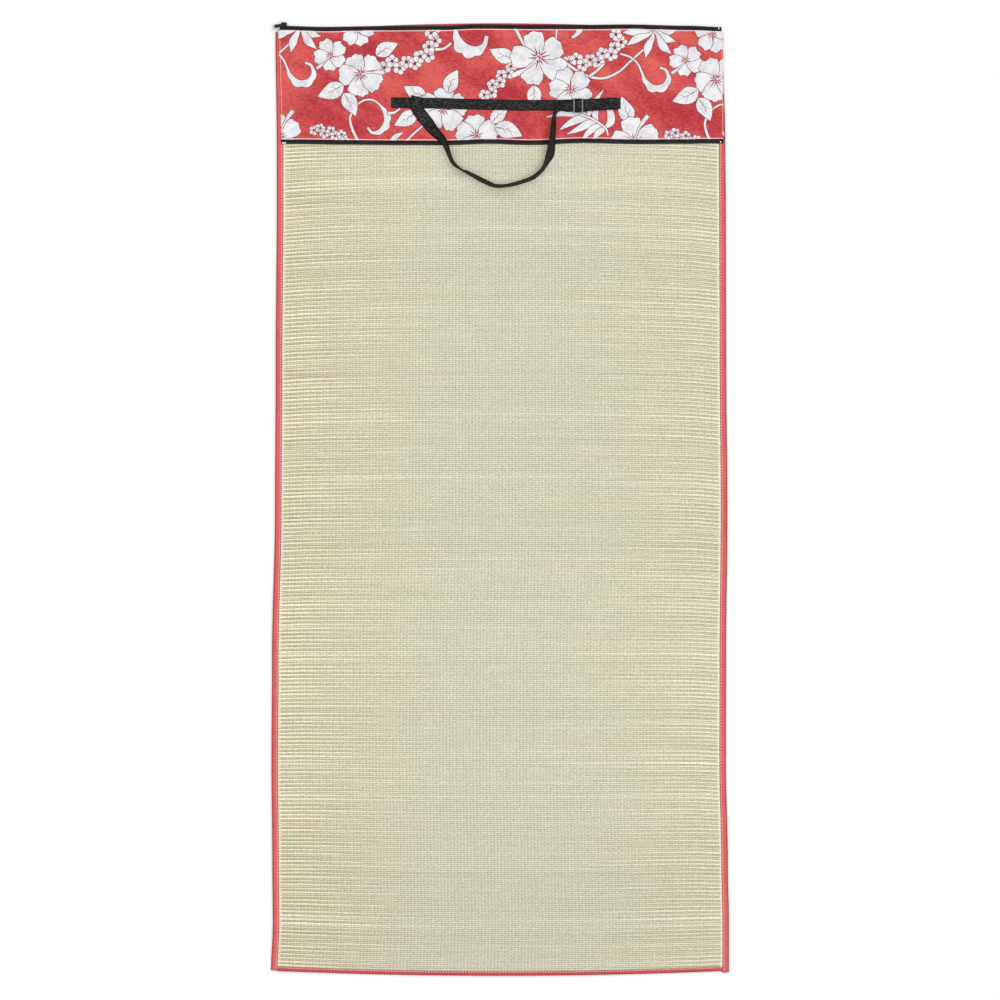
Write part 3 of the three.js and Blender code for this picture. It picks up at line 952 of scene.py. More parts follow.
    def build_strings(self, name: str, upper: bool, material: Material) -> Piece:
        """Makes the strings' passes over the upper or the lower side of the stems.

        Args:
            name: the piece's name.
            upper: whether the passes lie on the upper side.
            material: the finish.

        Returns:
            The piece, of one small bent strip for each pass.
        """
        share = (np.arange(self.strings) + 0.5) / self.strings
        over = 1 if upper else -1
        passes = []
        for row, (centre, half) in enumerate(zip(self.centres, self.halves)):
            first, last = centre[self.first_open, 0], centre[-1 - self.first_open, 0]
            x = (first + (last - first) * share)[(row + int(upper)) % 2 :: 2]
            y, middle, wide, tall = sampled(np.hstack([centre[:, 1:], half]), centre[:, 0], x).T
            strip = [
                np.stack([x + side, y + step * wide, middle + over * (tall * rise + self.string_lift)], -1)
                for step, rise in self.string_bend
                for side in (-over * self.string_half, over * self.string_half)
            ]
            passes.append(np.stack(strip, 1))
        strips = np.concatenate(passes)
        points = strips.reshape(-1, 3)
        points[:, 2] = np.clip(points[:, 2], 0, self.plan.rush + self.string_room)
        start = np.arange(len(strips))[:, None] * 6
        quads = np.concatenate([start + [0, 1, 3, 2], start + [2, 3, 5, 4]])
        piece = make_piece(name, points, quads.tolist(), sharp=120)
        return hand_in(piece, material, "rush")

    def build(self) -> list[Piece]:
        """Builds the rush with its strings.

        Returns:
            The rows and the strings.
        """
        self.lay_rows()
        rows = self.build_rows()
        string = ThreadFinish("warp_string", srgb(232, 230, 212), srgb(206, 204, 182)).material()
        strings = [
            self.build_strings("warp_strings_upper", True, string),
            self.build_strings("warp_strings_under", False, string),
        ]
        width = float(self.plan.right(0) - self.plan.left(0))
        return [rows, *strings]


# Sewing


@dataclass(frozen=True)
class Stitching:
    """A row of lockstitches: how far apart they are, and how long, half as wide, and high each is."""

    pitch: float
    length: float
    half: float
    high: float
    # Place along a stitch, thickness and lift, as shares of its length, width and height
    form: tuple = ((-0.5, 0.45, -0.25), (-0.28, 1, 0.12), (0.28, 1, 0.12), (0.5, 0.45, -0.25))

    def rings(self, line: Points, up: Sequence[float]) -> Points:
        """Rings of each stitch along a line.

        Args:
            line: points that the sewing follows.
            up: the direction in which it stands out of the cloth.

        Returns:
            Points by stitch, station, place round it, and axis.
        """
        gone = measured(line)
        at = np.arange(self.pitch / 2, gone[-1], self.pitch)
        place, ahead = sampled(line, gone, at), sampled(headings(line), gone, at)
        side = np.cross(ahead, np.asarray(up, float))
        turn = np.arange(6) * math.pi / 3
        stations = np.array(self.form)
        rings = place[:, None, None] + ahead[:, None, None] * (stations[:, 0] * self.length)[:, None, None]
        rings = rings + side[:, None, None] * (self.half * stations[:, 1:2] * np.cos(turn))[..., None]
        lift = self.high * (stations[:, 1:2] * np.sin(turn) + stations[:, 2:3])
        return rings + np.asarray(up, float) * lift[..., None]

    def sew(self, name: str, lines: Sequence[tuple], material: Material, slot: str) -> Piece:
        """Sews several lines as one piece.

        Args:
            name: the piece's name.
            lines: each line's points and the way it stands out.
            material: the thread's finish.
            slot: the material slot.

        Returns:
            The piece.
        """
        points, faces = tubes(np.concatenate([self.rings(line, up) for line, up in lines]))
        return hand_in(make_piece(name, points, faces, sharp=120), material, slot)


# The bindings


class Side(Enum):
    """Which edge of the mat a binding covers."""

    LEFT = "left"
    RIGHT = "right"
    FOOT = "foot"
    HEAD = "head"


@dataclass
class Binding:
    """Tape folded over an edge of the mat and sewn through, drawn in a little at every stitch."""

    plan: MatPlan
    side: Side
    step: float = 2.3
    round: float = 0.7
    sewn: float = 0.8
    pucker: float = 0.35
    drawn_in: float = 0.6
    waver: float = 0.06
    sunk: float = 0.1
    above: float = 0.2
    below: float = 0.15
    sewn_run: tuple = (0.002, 0.998)
    sewn_points: int = 400
    stitching: Stitching = Stitching(5.4, 3.9, 0.95, 0.35)

    @property
    def width(self) -> float:
        """Width that shows."""
        return self.plan.binding_foot if self.side is Side.FOOT else self.plan.binding

    def place(self, inward: Any, run: Any) -> tuple[Any, Any]:
        """A place on the tape.

        Args:
            inward: how far in from the outline.
            run: share of the edge's length.

        Returns:
            X and y there.
        """
        plan = self.plan
        if self.side in (Side.LEFT, Side.RIGHT):
            is_left = self.side is Side.LEFT
            start = plan.foot - (plan.tail_left if is_left else plan.tail_right)
            along = start + (plan.head - start) * run
            x = plan.left(along) + inward if is_left else plan.right(along) - inward
            return x, plan.laid(x, along)
        along = plan.foot + inward if self.side is Side.FOOT else plan.head - inward
        inset = plan.binding + plan.edge_gap
        left, right = plan.left(along) + inset, plan.right(along) - inset
        x = left + (right - left) * run
        return x, plan.laid(x, along)

    def section(self) -> Points:
        """The folded tape's section.

        Returns:
            Rows of how far in, how high, and how far a stitch draws it in.
        """
        top, cloth, width, r = self.plan.binding_top, self.plan.cloth, self.width, self.round
        stitch = self.sewn * width
        half = [
            (width, 0, 0.3),
            (stitch, 0, self.drawn_in),
            (width * 0.35, 0, 0.1),
            (r, 0, 0),
            (r * 0.3, r * 0.3, 0),
            (0, r * 1.1, 0),
        ]
        upper = [(inward, top - z, -draw) for inward, z, draw in half[::-1]]
        inner = [(width, top - cloth, 0), (cloth, top - cloth, 0), (cloth, cloth, 0), (width, cloth, 0)]
        return np.array(half + upper + inner)

    def sewn_lines(self) -> list[tuple]:
        """Lines of sewing above and below the mat.

        Returns:
            Each line's points and the way it stands out.
        """
        run = np.linspace(*self.sewn_run, self.sewn_points)
        x, y = self.place(np.full(self.sewn_points, self.sewn * self.width), run)
        sink = self.drawn_in * self.pucker + self.sunk
        above = np.full(self.sewn_points, self.plan.binding_top - sink + self.above)
        below = np.full(self.sewn_points, sink + self.below)
        return [(np.stack([x, y, above], -1), (0, 0, 1)), (np.stack([x, y, below], -1), (0, 0, -1))]

    def build(self, tape: Material, thread: Material) -> list[Piece]:
        """Builds the tape and its sewing.

        Args:
            tape: the tape's finish.
            thread: the sewing's finish.

        Returns:
            The tape and its sewing.
        """
        ends = np.stack(self.place(np.zeros(2), np.array([0, 1])), -1)
        long = float(np.linalg.norm(ends[1] - ends[0]))
        count = int(long / self.step)
        run = np.linspace(0, 1, count)[:, None]
        section = self.section()
        chance = np.random.default_rng(sum(map(ord, self.side.value)))
        drawn = 0.5 - 0.5 * np.cos(run * long / self.stitching.pitch * 2 * math.pi)
        loose = chance.normal(0, self.waver, (count, 1))
        inward = section[:, 0] + np.where(section[:, 0] == self.width, loose, 0)
        x, y = self.place(inward, run)
        z = section[:, 1] + self.pucker * section[:, 2] * drawn
        points, faces = tubes(np.stack([x, y, z], -1)[None])
        values = {
            "across": np.broadcast_to(section[:, 0] / self.width, x.shape).ravel(),
            "run": np.broadcast_to(run * long, x.shape).ravel(),
        }
        name = f"{self.side.value}_binding"
        piece = make_piece(name, points, faces, values)
        hand_in(piece, tape, "binding_tape", f"binding_{self.side.value}")
        sewing = self.stitching.sew(f"{name}_stitches", self.sewn_lines(), thread, "binding_tape")
        return [piece, sewing]


# The printed panel


class Ink(Enum):
    """What a place of the cloth is printed with: share of white, share of dark line."""

    GROUND = (0.0, 0.0)
    WHITE = (1.0, 0.0)
    LINE = (0.0, 1.0)


class Motif(Enum):
    """Single motifs of the print."""

    HIBISCUS = "hibiscus"
    OPEN_HIBISCUS = "open hibiscus"
    BLOSSOM = "blossom"
    LEAF = "leaf"
    LANCE_FLOWER = "lance flower"


class Trail(Enum):
    """Motifs of the print that follow a path."""

    GARLAND = "garland"
    STEM = "stem"
    SCROLL = "scroll"
    FROND_LEAF = "frond leaf"


@dataclass(frozen=True)
class Placed:
    """A single motif: its middle, its size across, where it points in degrees, and how long its stamen is."""

    motif: Motif
    x: float
    y: float
    size: float
    turn: float
    stamen: float = 1.1


@dataclass(frozen=True)
class Drawn:
    """A motif along a path, with its greatest width."""

    trail: Trail
    width: float
    path: tuple


@dataclass(frozen=True)
class Bloom:
    """Petals of one kind of flower: half width, depth and number of ruffles, points of an outline."""

    wide: float
    ruffle: float
    waves: int
    points: int


BLOOMS = {
    Motif.HIBISCUS: Bloom(0.64, 0.035, 9, 60),
    Motif.OPEN_HIBISCUS: Bloom(0.55, 0.025, 8, 54),
    Motif.BLOSSOM: Bloom(0.6, 0.045, 7, 48),
}

PLACED = (
    Placed(Motif.LANCE_FLOWER, -380, 893, 56, -90),
    Placed(Motif.BLOSSOM, -320, 837, 62, 225, 1.15),
    Placed(Motif.BLOSSOM, -269, 885, 64, 262, 0),
    Placed(Motif.LEAF, -213, 848, 46, 28),
    Placed(Motif.HIBISCUS, -262, 801, 83, 6, 1.05),
    Placed(Motif.LEAF, -320, 771, 53, 205),
    Placed(Motif.LEAF, -284, 744, 48, -62),
    Placed(Motif.OPEN_HIBISCUS, -416, 684, 88, 64, 1.25),
    Placed(Motif.LEAF, -160, 769, 46, 155),
    Placed(Motif.HIBISCUS, -107, 736, 84, -20, 0),
    Placed(Motif.LEAF, -89, 788, 47, 66),
    Placed(Motif.LEAF, -179, 718, 48, 212),
    Placed(Motif.HIBISCUS, -44, 685, 80, 58, 0),
    Placed(Motif.LEAF, 4, 840, 49, 160),
    Placed(Motif.LEAF, 0, 724, 42, 42),
    Placed(Motif.LEAF, 16, 693, 54, -18),
    Placed(Motif.LEAF, 62, 757, 46, -94),
    Placed(Motif.OPEN_HIBISCUS, 73, 833, 107, 216, 1.15),
    Placed(Motif.BLOSSOM, 133, 773, 80, 74, 0),
    Placed(Motif.LEAF, 239, 736, 50, 111),
)

DRAWN = (
    Drawn(Trail.GARLAND, 30, ((-218, 820), (-184, 820), (-152, 830), (-131, 850), (-124, 894))),
    Drawn(
        Trail.SCROLL,
        22,
        ((-86, 942), (-84, 890), (-80, 868), (-68, 852), (-48, 846), (-31, 855), (-25, 873)),
    ),
    Drawn(Trail.STEM, 5, ((-122, 848), (-106, 850), (-92, 860))),
    Drawn(
        Trail.SCROLL,
        13,
        (
            (-442.5, 849.4),
            (-423.5, 842.9),
            (-409.5, 830.4),
            (-402, 814.4),
            (-394.5, 797.4),
            (-378.5, 785),
            (-359.5, 789.4),
            (-352, 803.4),
            (-356.5, 818),
            (-367.5, 823.4),
        ),
    ),
    Drawn(Trail.STEM, 5, ((-264, 668), (-278, 696), (-283, 716), (-280, 728))),
    Drawn(
        Trail.SCROLL,
        12,
        (
            (-270, 744),
            (-254, 753),
            (-236, 751),
            (-220, 735),
            (-214, 714),
            (-224, 696),
            (-240, 691),
            (-250, 701),
        ),
    ),
    Drawn(Trail.STEM, 5, ((-212, 728), (-200, 729), (-188, 737))),
    Drawn(Trail.GARLAND, 22, ((-350, 699), (-332, 694), (-312, 688), (-288, 678))),
    Drawn(Trail.FROND_LEAF, 10, ((-208, 668), (-198, 682), (-182, 692))),
    Drawn(Trail.STEM, 4, ((-178, 674), (-164, 688), (-146, 704))),
    Drawn(Trail.GARLAND, 26, ((24, 812), (2, 796), (-12, 778), (-30, 756))),
    Drawn(Trail.STEM, 6, ((28, 890), (38, 870), (48, 852))),
    Drawn(Trail.STEM, 4, ((107, 890), (106, 868))),
    Drawn(Trail.GARLAND, 29, ((130, 829), (166, 825), (198, 836), (220, 852), (224, 884))),
    Drawn(Trail.SCROLL, 16, ((118, 955), (138, 925), (147, 898), (147, 880), (136, 870))),
    Drawn(
        Trail.STEM,
        5,
        ((120, 828), (136, 814), (166, 798), (196, 794), (224, 806), (244, 824), (272, 849)),
    ),
    Drawn(Trail.STEM, 5, ((168, 797), (184, 809), (196, 821))),
    Drawn(Trail.FROND_LEAF, 15, ((168, 721), (148, 728), (120, 728), (86, 720))),
    Drawn(Trail.FROND_LEAF, 15, ((176, 717), (152, 718), (131, 709), (112, 696))),
    Drawn(Trail.FROND_LEAF, 15, ((186, 711), (166, 708), (149, 699), (126, 688))),
    Drawn(Trail.FROND_LEAF, 14, ((195, 704), (180, 701), (166, 691), (152, 672))),
    Drawn(Trail.FROND_LEAF, 12, ((200, 699), (190, 695), (181, 686), (176, 670))),
    Drawn(Trail.FROND_LEAF, 12, ((166, 721), (172, 736), (182, 753), (196, 773))),
    Drawn(Trail.FROND_LEAF, 12, ((184, 712), (180, 726), (185, 742), (193, 752))),
    Drawn(Trail.FROND_LEAF, 15, ((199, 700), (210, 713), (207, 735), (196, 754))),
    Drawn(Trail.STEM, 4, ((150, 726), (174, 717), (198, 701), (204, 686))),
)


def turned(edge: Points, turn: float) -> Points:
    """Points turned about the origin, in degrees."""
    c, s = math.cos(math.radians(turn)), math.sin(math.radians(turn))
    return edge @ np.array([[c, s], [-s, c]])


def widened(edge: Points, by: float) -> Points:
    """A closed outline set off outwards.

    Args:
        edge: the outline's points.
        by: how far, inwards if negative.

    Returns:
        The new outline.
    """
    ahead = np.roll(edge, -1, 0) - np.roll(edge, 1, 0)
    after = np.roll(edge, -1, 0)
    area = (edge[:, 0] * after[:, 1] - edge[:, 1] * after[:, 0]).sum()
    out = np.stack([ahead[:, 1], -ahead[:, 0]], 1) * np.sign(area)
    return edge + by * out / np.maximum(np.linalg.norm(out, axis=1, keepdims=True), 1e-6)


def ribbon(line: Points, left: np.ndarray, right: np.ndarray) -> Points:
    """Closed outline of a stroke with its own width on each side of a line.

    Args:
        line: the stroke's middle.
        left: width on its left.
        right: width on its right.

    Returns:
        The outline.
    """
    ahead = headings(line)
    side = np.stack([-ahead[:, 1], ahead[:, 0]], 1)
    return np.vstack([line + side * left[:, None], (line - side * right[:, None])[::-1]])


def within(places: Points, edge: Points) -> np.ndarray:
    """Finds the places that a closed outline goes round.

    Args:
        places: points to test.
        edge: the outline's points.

    Returns:
        Their numbers.
    """
    near = np.flatnonzero(((places >= edge.min(0)) & (places <= edge.max(0))).all(1))
    x, y = places[near, 0, None], places[near, 1, None]
    (x0, y0), (x1, y1) = edge.T, np.roll(edge, -1, 0).T
    level = np.where(y1 == y0, 1e-12, y1 - y0)
    beyond = x < x0 + (x1 - x0) * (y - y0) / level
    rounds = np.where((y0 <= y) & (y < y1) & beyond, 1, 0) - np.where((y1 <= y) & (y < y0) & beyond, 1, 0)
    return near[rounds.sum(1) != 0]


@dataclass
class PrintDesign:
    """Flowers, leaves and scrolls, drawn by formulas and repeated along the cloth, later over earlier."""

    repeat: tuple = (669.5, -9.4)
    line: float = 1.15
    rib: float = 1.4
    vein: float = 1.0
    reach: tuple = (-430, 430, 665, 900)
    seed: int = 23
    # Turn in degrees, length and half width of each leaf
    lances: tuple = (
        (-84, 1.04, 0.15),
        (-59, 1.04, 0.12),
        (86, 0.84, 0.11),
        (57, 0.84, 0.12),
        (-14, 0.95, 0.13),
        (31, 1.0, 0.13),
    )
    edges: list[Points] = field(default_factory=list)
    inks: list[Ink] = field(default_factory=list)

    def __post_init__(self) -> None:
        """Starts the seeded chances."""
        self.chance = np.random.default_rng(self.seed)

    def put(self, edge: Points, ink: Ink) -> None:
        """Adds one area, if it is on the cloth.

        Args:
            edge: the shape's outline.
            ink: what it is printed with.
        """
        left, right, low, high = self.reach
        (x0, y0), (x1, y1) = edge.min(0), edge.max(0)
        if x1 > left and x0 < right and y1 > low and y0 < high:
            self.edges.append(edge)
            self.inks.append(ink)

    def white(self, edge: Points) -> None:
        """Adds a white area with a thin dark rim."""
        self.put(widened(edge, self.line), Ink.LINE)
        self.put(edge, Ink.WHITE)

    def stroke(self, path: Points, width: float, ink: Ink, tip: float = 0.25) -> None:
        """Adds a thin stroke that narrows to its end."""
        half = width / 2 * np.linspace(1, tip, len(path))
        self.put(ribbon(path, half, half), ink)

    def petal(self, bloom: Bloom) -> Points:
        """A petal of unit length from the origin along X, broad, blunt and ruffled at its end.

        Args:
            bloom: its sizes.

        Returns:
            The outline.
        """
        t = np.arange(bloom.points) * 2 * math.pi / bloom.points
        blunt = np.sign(np.cos(t)) * np.abs(np.cos(t)) ** 0.8
        along = 0.53 - 0.47 * blunt
        across = bloom.wide * np.sin(t) * (0.68 - 0.32 * np.cos(t))
        rim = smooth(along, 0.5, 0.85)
        start, waves = self.chance.uniform(-0.8, 0.8), bloom.waves
        ruffles = np.cos(waves * t + start) + 0.6 * np.cos(2.6 * waves * t - start)
        wave = 1 + bloom.ruffle * rim * ruffles
        return np.stack([along * wave, across * wave], 1)

    def flower(self, spot: Placed) -> None:
        """Adds five petals, a throat with dark rays, and a stamen where the flower points.

        Args:
            spot: the motif and where it lies.
        """
        bloom = BLOOMS[spot.motif]
        at, half = np.array([spot.x, spot.y]), spot.size / 2
        for k in range(5):
            grow = half * self.chance.uniform(0.9, 1.08)
            own = replace(bloom, wide=bloom.wide * self.chance.uniform(0.94, 1.06))
            shape = self.petal(own) * grow
            self.white(turned(shape, spot.turn + 36 + 72 * k + self.chance.uniform(-6, 6)) + at)
        star = np.arange(20) * math.pi / 10
        far = half * np.where(np.arange(20) % 2, 0.05, self.chance.uniform(0.12, 0.24, 20))
        self.put(np.stack([np.cos(star), np.sin(star)], 1) * far[:, None] + at, Ink.GROUND)
        for k in range(10):
            start, end = half * 0.12, half * self.chance.uniform(0.26, 0.44)
            ray = np.stack([np.linspace(start, end, 4), 0.08 * end * (-1) ** k * np.linspace(0, 1, 4)], 1)
            self.stroke(turned(ray, spot.turn + 36 * k + 8) + at, half * 0.06, Ink.LINE)
        if spot.stamen:
            bend = np.array([(0, 0), (0.38, 0.05), (0.76, 0.02), (1, -0.03)]) * half * spot.stamen
            self.white(self.pin(flowing(turned(bend, spot.turn), 6) + at, half * 0.065))

    def pin(self, path: Points, width: float) -> Points:
        """Outline of a stamen: a stroke with a knobbed end.

        Args:
            path: its middle line.
            width: its width.

        Returns:
            The outline.
        """
        share = np.linspace(0, 1, len(path))
        knobs = smooth(share, 0.5, 0.62) * (0.75 + 0.5 * np.cos(share * 44))
        half = width / 2 * (1 + 2.0 * knobs)
        return ribbon(path, half, half)

    def leaf(self, spot: Placed) -> None:
        """Adds a finely toothed leaf with dark veins.

        Args:
            spot: the motif and where it lies.
        """
        at, size = np.array([spot.x, spot.y]), spot.size
        u = np.linspace(0, 1, 26)
        tooth = 1 + 0.05 * np.sin(u * 2 * math.pi * 8)
        half = 0.7 * np.sin(math.pi * u**0.85) ** 0.85 * (1 - 0.4 * u) * tooth + 0.004
        line = np.stack([u - 0.5, 0.05 * np.sin(math.pi * u)], 1) * size
        self.white(turned(ribbon(line, half * size * 0.5, half * size * 0.5), spot.turn) + at)
        rib = line[1:21:3]
        self.stroke(turned(rib, spot.turn) + at, self.rib, Ink.LINE)
        for base, way in ((4, 1), (7, -1), (10, 1), (13, -1)):
            reach = 0.6 * half[base] * size * 0.5
            vein = line[base] + np.linspace(0, 1, 4)[:, None] * np.array([[reach * 1.1, way * reach]])
            self.stroke(turned(vein, spot.turn) + at, self.vein, Ink.LINE)

    def lance_flower(self, spot: Placed) -> None:
        """Adds a fan of pointed, wavy leaves on narrow necks.

        Args:
            spot: the motif and where it lies.
        """
        at, size = np.array([spot.x, spot.y]), spot.size
        u = np.linspace(0, 1, 22)
        for turn, long, wide in self.lances:
            half = wide * np.sin(math.pi * u**1.25) ** 1.1 * (1 + 0.1 * np.sin(u * 12)) + 0.014 * (1 - u)
            line = np.stack([u, 0.08 * np.sign(turn) * u**2 + 0.03 * np.sin(u * 8)], 1) * long
            self.white(turned(ribbon(line * size, half * size, half * size * 0.85), spot.turn + turn) + at)

    def garland(self, path: Points, width: float) -> None:
        """Adds small blossoms of rounded petals along a path, now to one side of it and now to the other.

        Args:
            path: its middle line.
            width: its width.
        """
        gone, ahead = measured(path), headings(path)
        size = width * 0.45
        t = np.arange(12) * math.pi / 6
        for step, far in enumerate(np.arange(0, gone[-1], width * 0.47)):
            middle, way = sampled(path, gone, far), sampled(ahead, gone, far)
            side = np.array([-way[1], way[0]]) * (1 if step % 2 else -1)
            at = middle + side * width * self.chance.uniform(0.1, 0.22)
            start = self.chance.uniform(0, 72)
            for k in range(5):
                reach = self.chance.uniform(0.33, 0.39)
                round_petal = np.stack([0.58 + reach * np.cos(t), reach * 1.06 * np.sin(t)], 1) * size
                self.white(turned(round_petal, start + 72 * k) + at)
            eye = np.stack([np.cos(t), np.sin(t)], 1) * size * 0.17
            self.put(eye + at, Ink.LINE)

    def scroll(self, path: Points, width: float) -> None:
        """Adds a curl that swells to its bend, scalloped on the outside there, and ends in a thin hook.

        Args:
            path: its middle line.
            width: its width.
        """
        u = measured(path) / measured(path)[-1]
        ahead = headings(path)
        bend = (ahead[:-1, 0] * ahead[1:, 1] - ahead[:-1, 1] * ahead[1:, 0]).sum()
        swell = smooth(u, 0.32, 0.6) * (1 - 0.92 * smooth(u, 0.68, 0.98))
        body = width / 2 * (0.26 + 0.5 * swell)
        outer = body * (1 + swell * (0.25 + 0.75 * np.abs(np.sin(u * math.pi * 8))))
        self.white(ribbon(path, body, outer) if bend > 0 else ribbon(path, outer, body))

    def trail(self, drawn: Drawn, path: Points) -> None:
        """Adds a motif that follows a path.

        Args:
            drawn: the motif.
            path: its middle line on the cloth.
        """
        u = np.linspace(0, 1, len(path))
        if drawn.trail is Trail.GARLAND:
            self.garland(path, drawn.width)
        elif drawn.trail is Trail.SCROLL:
            self.scroll(path, drawn.width)
        elif drawn.trail is Trail.STEM:
            half = drawn.width / 2 * (0.85 + 0.15 * np.cos(u * math.pi))
            self.white(ribbon(path, half, half))
        else:
            half = drawn.width / 2 * np.sin(math.pi * u**0.75) ** 0.9 + 0.15
            self.white(ribbon(path, half, half * 0.85))

    def single(self, spot: Placed) -> None:
        """Adds a single motif.

        Args:
            spot: the motif and where it lies.
        """
        if spot.motif is Motif.LEAF:
            self.leaf(spot)
        elif spot.motif is Motif.LANCE_FLOWER:
            self.lance_flower(spot)
        else:
            self.flower(spot)

    def draw(self) -> None:
        """Draws every repeat of the print that reaches the cloth."""
        for times in (-1, 0, 1):
            offset = np.array(self.repeat) * times
            for drawn in DRAWN:
                self.trail(drawn, flowing(drawn.path, 9) + offset)
            for spot in PLACED:
                self.single(replace(spot, x=spot.x + offset[0], y=spot.y + offset[1]))


@dataclass(frozen=True)
class Crease:
    """A soft ridge or trough: its middle, turn in degrees, half length, half width and height."""

    x: float
    y: float
    turn: float
    long: float
    wide: float
    high: float

    def height(self, x: Any, y: Any) -> Any:
        """Height at a place.

        Args:
            x: places across.
            y: places along.

        Returns:
            Heights there.
        """
        c, s = math.cos(math.radians(self.turn)), math.sin(math.radians(self.turn))
        along, off = (x - self.x) * c + (y - self.y) * s, (y - self.y) * c - (x - self.x) * s
        return self.high * np.exp(-((along / self.long) ** 2) - (off / self.wide) ** 2)


@dataclass
class CoverPanel:
    """The printed cloth, sewn down along all its edges."""

    plan: MatPlan
    lattice: float = 8
    lattice_clear: float = 3
    long_points: int = 106
    side_points: int = 26
    hem: float = 2.2
    zip_hem: float = 1.4
    side_stitching: Stitching = Stitching(3.8, 3.2, 0.7, 0.3)
    zip_stitching: Stitching = Stitching(3.8, 3.5, 0.95, 0.3)
    head_ramp: tuple = (845, 870)
    foot_ramp: tuple = (716, 690)
    strap_clear: tuple = (14, 40)
    creases: tuple = (
        Crease(-345, 800, 35, 90, 26, 1),
        Crease(-300, 715, 20, 70, 20, 0.7),
        Crease(-215, 830, -25, 80, 24, 0.9),
        Crease(-85, 810, 40, 75, 22, 0.9),
        Crease(20, 700, 5, 90, 14, 0.6),
        Crease(130, 825, -30, 85, 25, 1),
        Crease(275, 800, 30, 80, 24, 0.9),
        Crease(330, 720, -20, 75, 22, 0.8),
    )
    wrinkles: tuple = (
        Crease(-385, 770, 70, 45, 7, 0.5),
        Crease(-368, 842, 52, 40, 6, 0.45),
        Crease(-330, 748, 15, 60, 8, -0.4),
        Crease(-250, 780, -42, 50, 7, 0.4),
        Crease(-205, 795, 28, 55, 7, -0.4),
        Crease(-165, 840, 60, 40, 6, 0.45),
        Crease(-140, 700, -15, 50, 7, 0.4),
        Crease(-40, 835, -35, 55, 7, 0.45),
        Crease(10, 790, 30, 60, 8, -0.4),
        Crease(60, 715, -8, 60, 6, 0.4),
        Crease(105, 860, 15, 60, 7, 0.4),
        Crease(185, 785, 42, 50, 7, 0.45),
        Crease(240, 835, -48, 45, 6, -0.4),
        Crease(300, 760, 12, 60, 8, 0.45),
        Crease(345, 830, 38, 50, 7, 0.5),
        Crease(385, 745, 75, 40, 6, 0.45),
    )

    def lower(self, x: Any) -> Any:
        """Y of the lower edge."""
        return self.plan.lower_zip(x) + self.plan.zip_shows

    def upper(self, x: Any) -> Any:
        """Y of the upper edge."""
        return self.plan.upper_zip(x) - self.plan.zip_shows

    def under(self, x: Any, y: Any) -> Any:
        """Height of the underside, which climbs on to the bindings and zip tapes and creases a little.

        Args:
            x: places across.
            y: places along.

        Returns:
            Heights there.
        """
        plan = self.plan
        base = plan.rush + plan.gap + plan.side_rise(x)
        base = base + plan.layer * (2 * smooth(y, *self.head_ramp) + smooth(y, *self.foot_ramp))
        free = smooth(np.abs(y - plan.strap(x)), *self.strap_clear)
        main = np.max([crease.height(x, y) for crease in self.creases], axis=0)
        fine = np.sum([wrinkle.height(x, y) for wrinkle in self.wrinkles], axis=0)
        return base + np.maximum(main + fine, 0) * free

    def border(self) -> Points:
        """Outline of the cloth.

        Returns:
            Points from the lower left corner, anticlockwise.
        """
        (left_low, left_high), (right_low, right_high) = self.plan.panel_left, self.plan.panel_right
        bottom_x = np.linspace(left_low, right_low, self.long_points)
        top_x = np.linspace(left_high, right_high, self.long_points)
        bottom = np.stack([bottom_x, self.lower(bottom_x)], 1)
        top = np.stack([top_x, self.upper(top_x)], 1)
        share = np.linspace(0, 1, self.side_points + 2)[1:-1, None]
        right = bottom[-1] + (top[-1] - bottom[-1]) * share
        left = bottom[0] + (top[0] - bottom[0]) * share
        return np.vstack([bottom, right, top[::-1], left[::-1]])

    def free_points(self, border: Points) -> Points:
        """Even points all over the cloth, so that it can crease between the printed edges.

        Args:
            border: the outline's points.

        Returns:
            Points inside it.
        """
        (left, low), (right, high) = border.min(0), border.max(0)
        x, y = np.arange(left, right, self.lattice), np.arange(low, high, self.lattice)
        grid = np.stack(np.meshgrid(x, y), -1).reshape(-1, 2)
        grid[:, 0] += self.lattice / 2 * (np.round((grid[:, 1] - low) / self.lattice) % 2)
        return grid[within(grid, widened(border, -self.lattice_clear))]

    def printed(self) -> tuple[Points, np.ndarray, Points]:
        """Cuts the cloth into triangles along the print.

        Returns:
            Flat points, triangles, and each triangle's ink as a colour.
        """
        design = PrintDesign()
        design.draw()
        border = self.border()
        points, edges = [], []
        for edge in [border, *design.edges]:
            numbers = np.arange(len(points), len(points) + len(edge))
            edges.extend(np.stack([numbers, np.roll(numbers, -1)], 1).tolist())
            points.extend(edge.tolist())
        points.extend(self.free_points(border).tolist())
        made = delaunay_2d_cdt([Vector(p) for p in points], edges, [], 0, 1e-4, False)
        flat, triangles = np.array([tuple(p) for p in made[0]]), np.array(made[2])
        triangles = triangles[within(flat[triangles].mean(1), border)]
        middles = flat[triangles].mean(1)
        colours = np.tile((*Ink.GROUND.value, 0, 1), (len(triangles), 1)).astype(float)
        for edge, ink in zip(design.edges, design.inks):
            colours[within(middles, edge), :2] = ink.value
        used, renumbered = np.unique(triangles, return_inverse=True)
        return flat[used], renumbered.reshape(-1, 3), colours

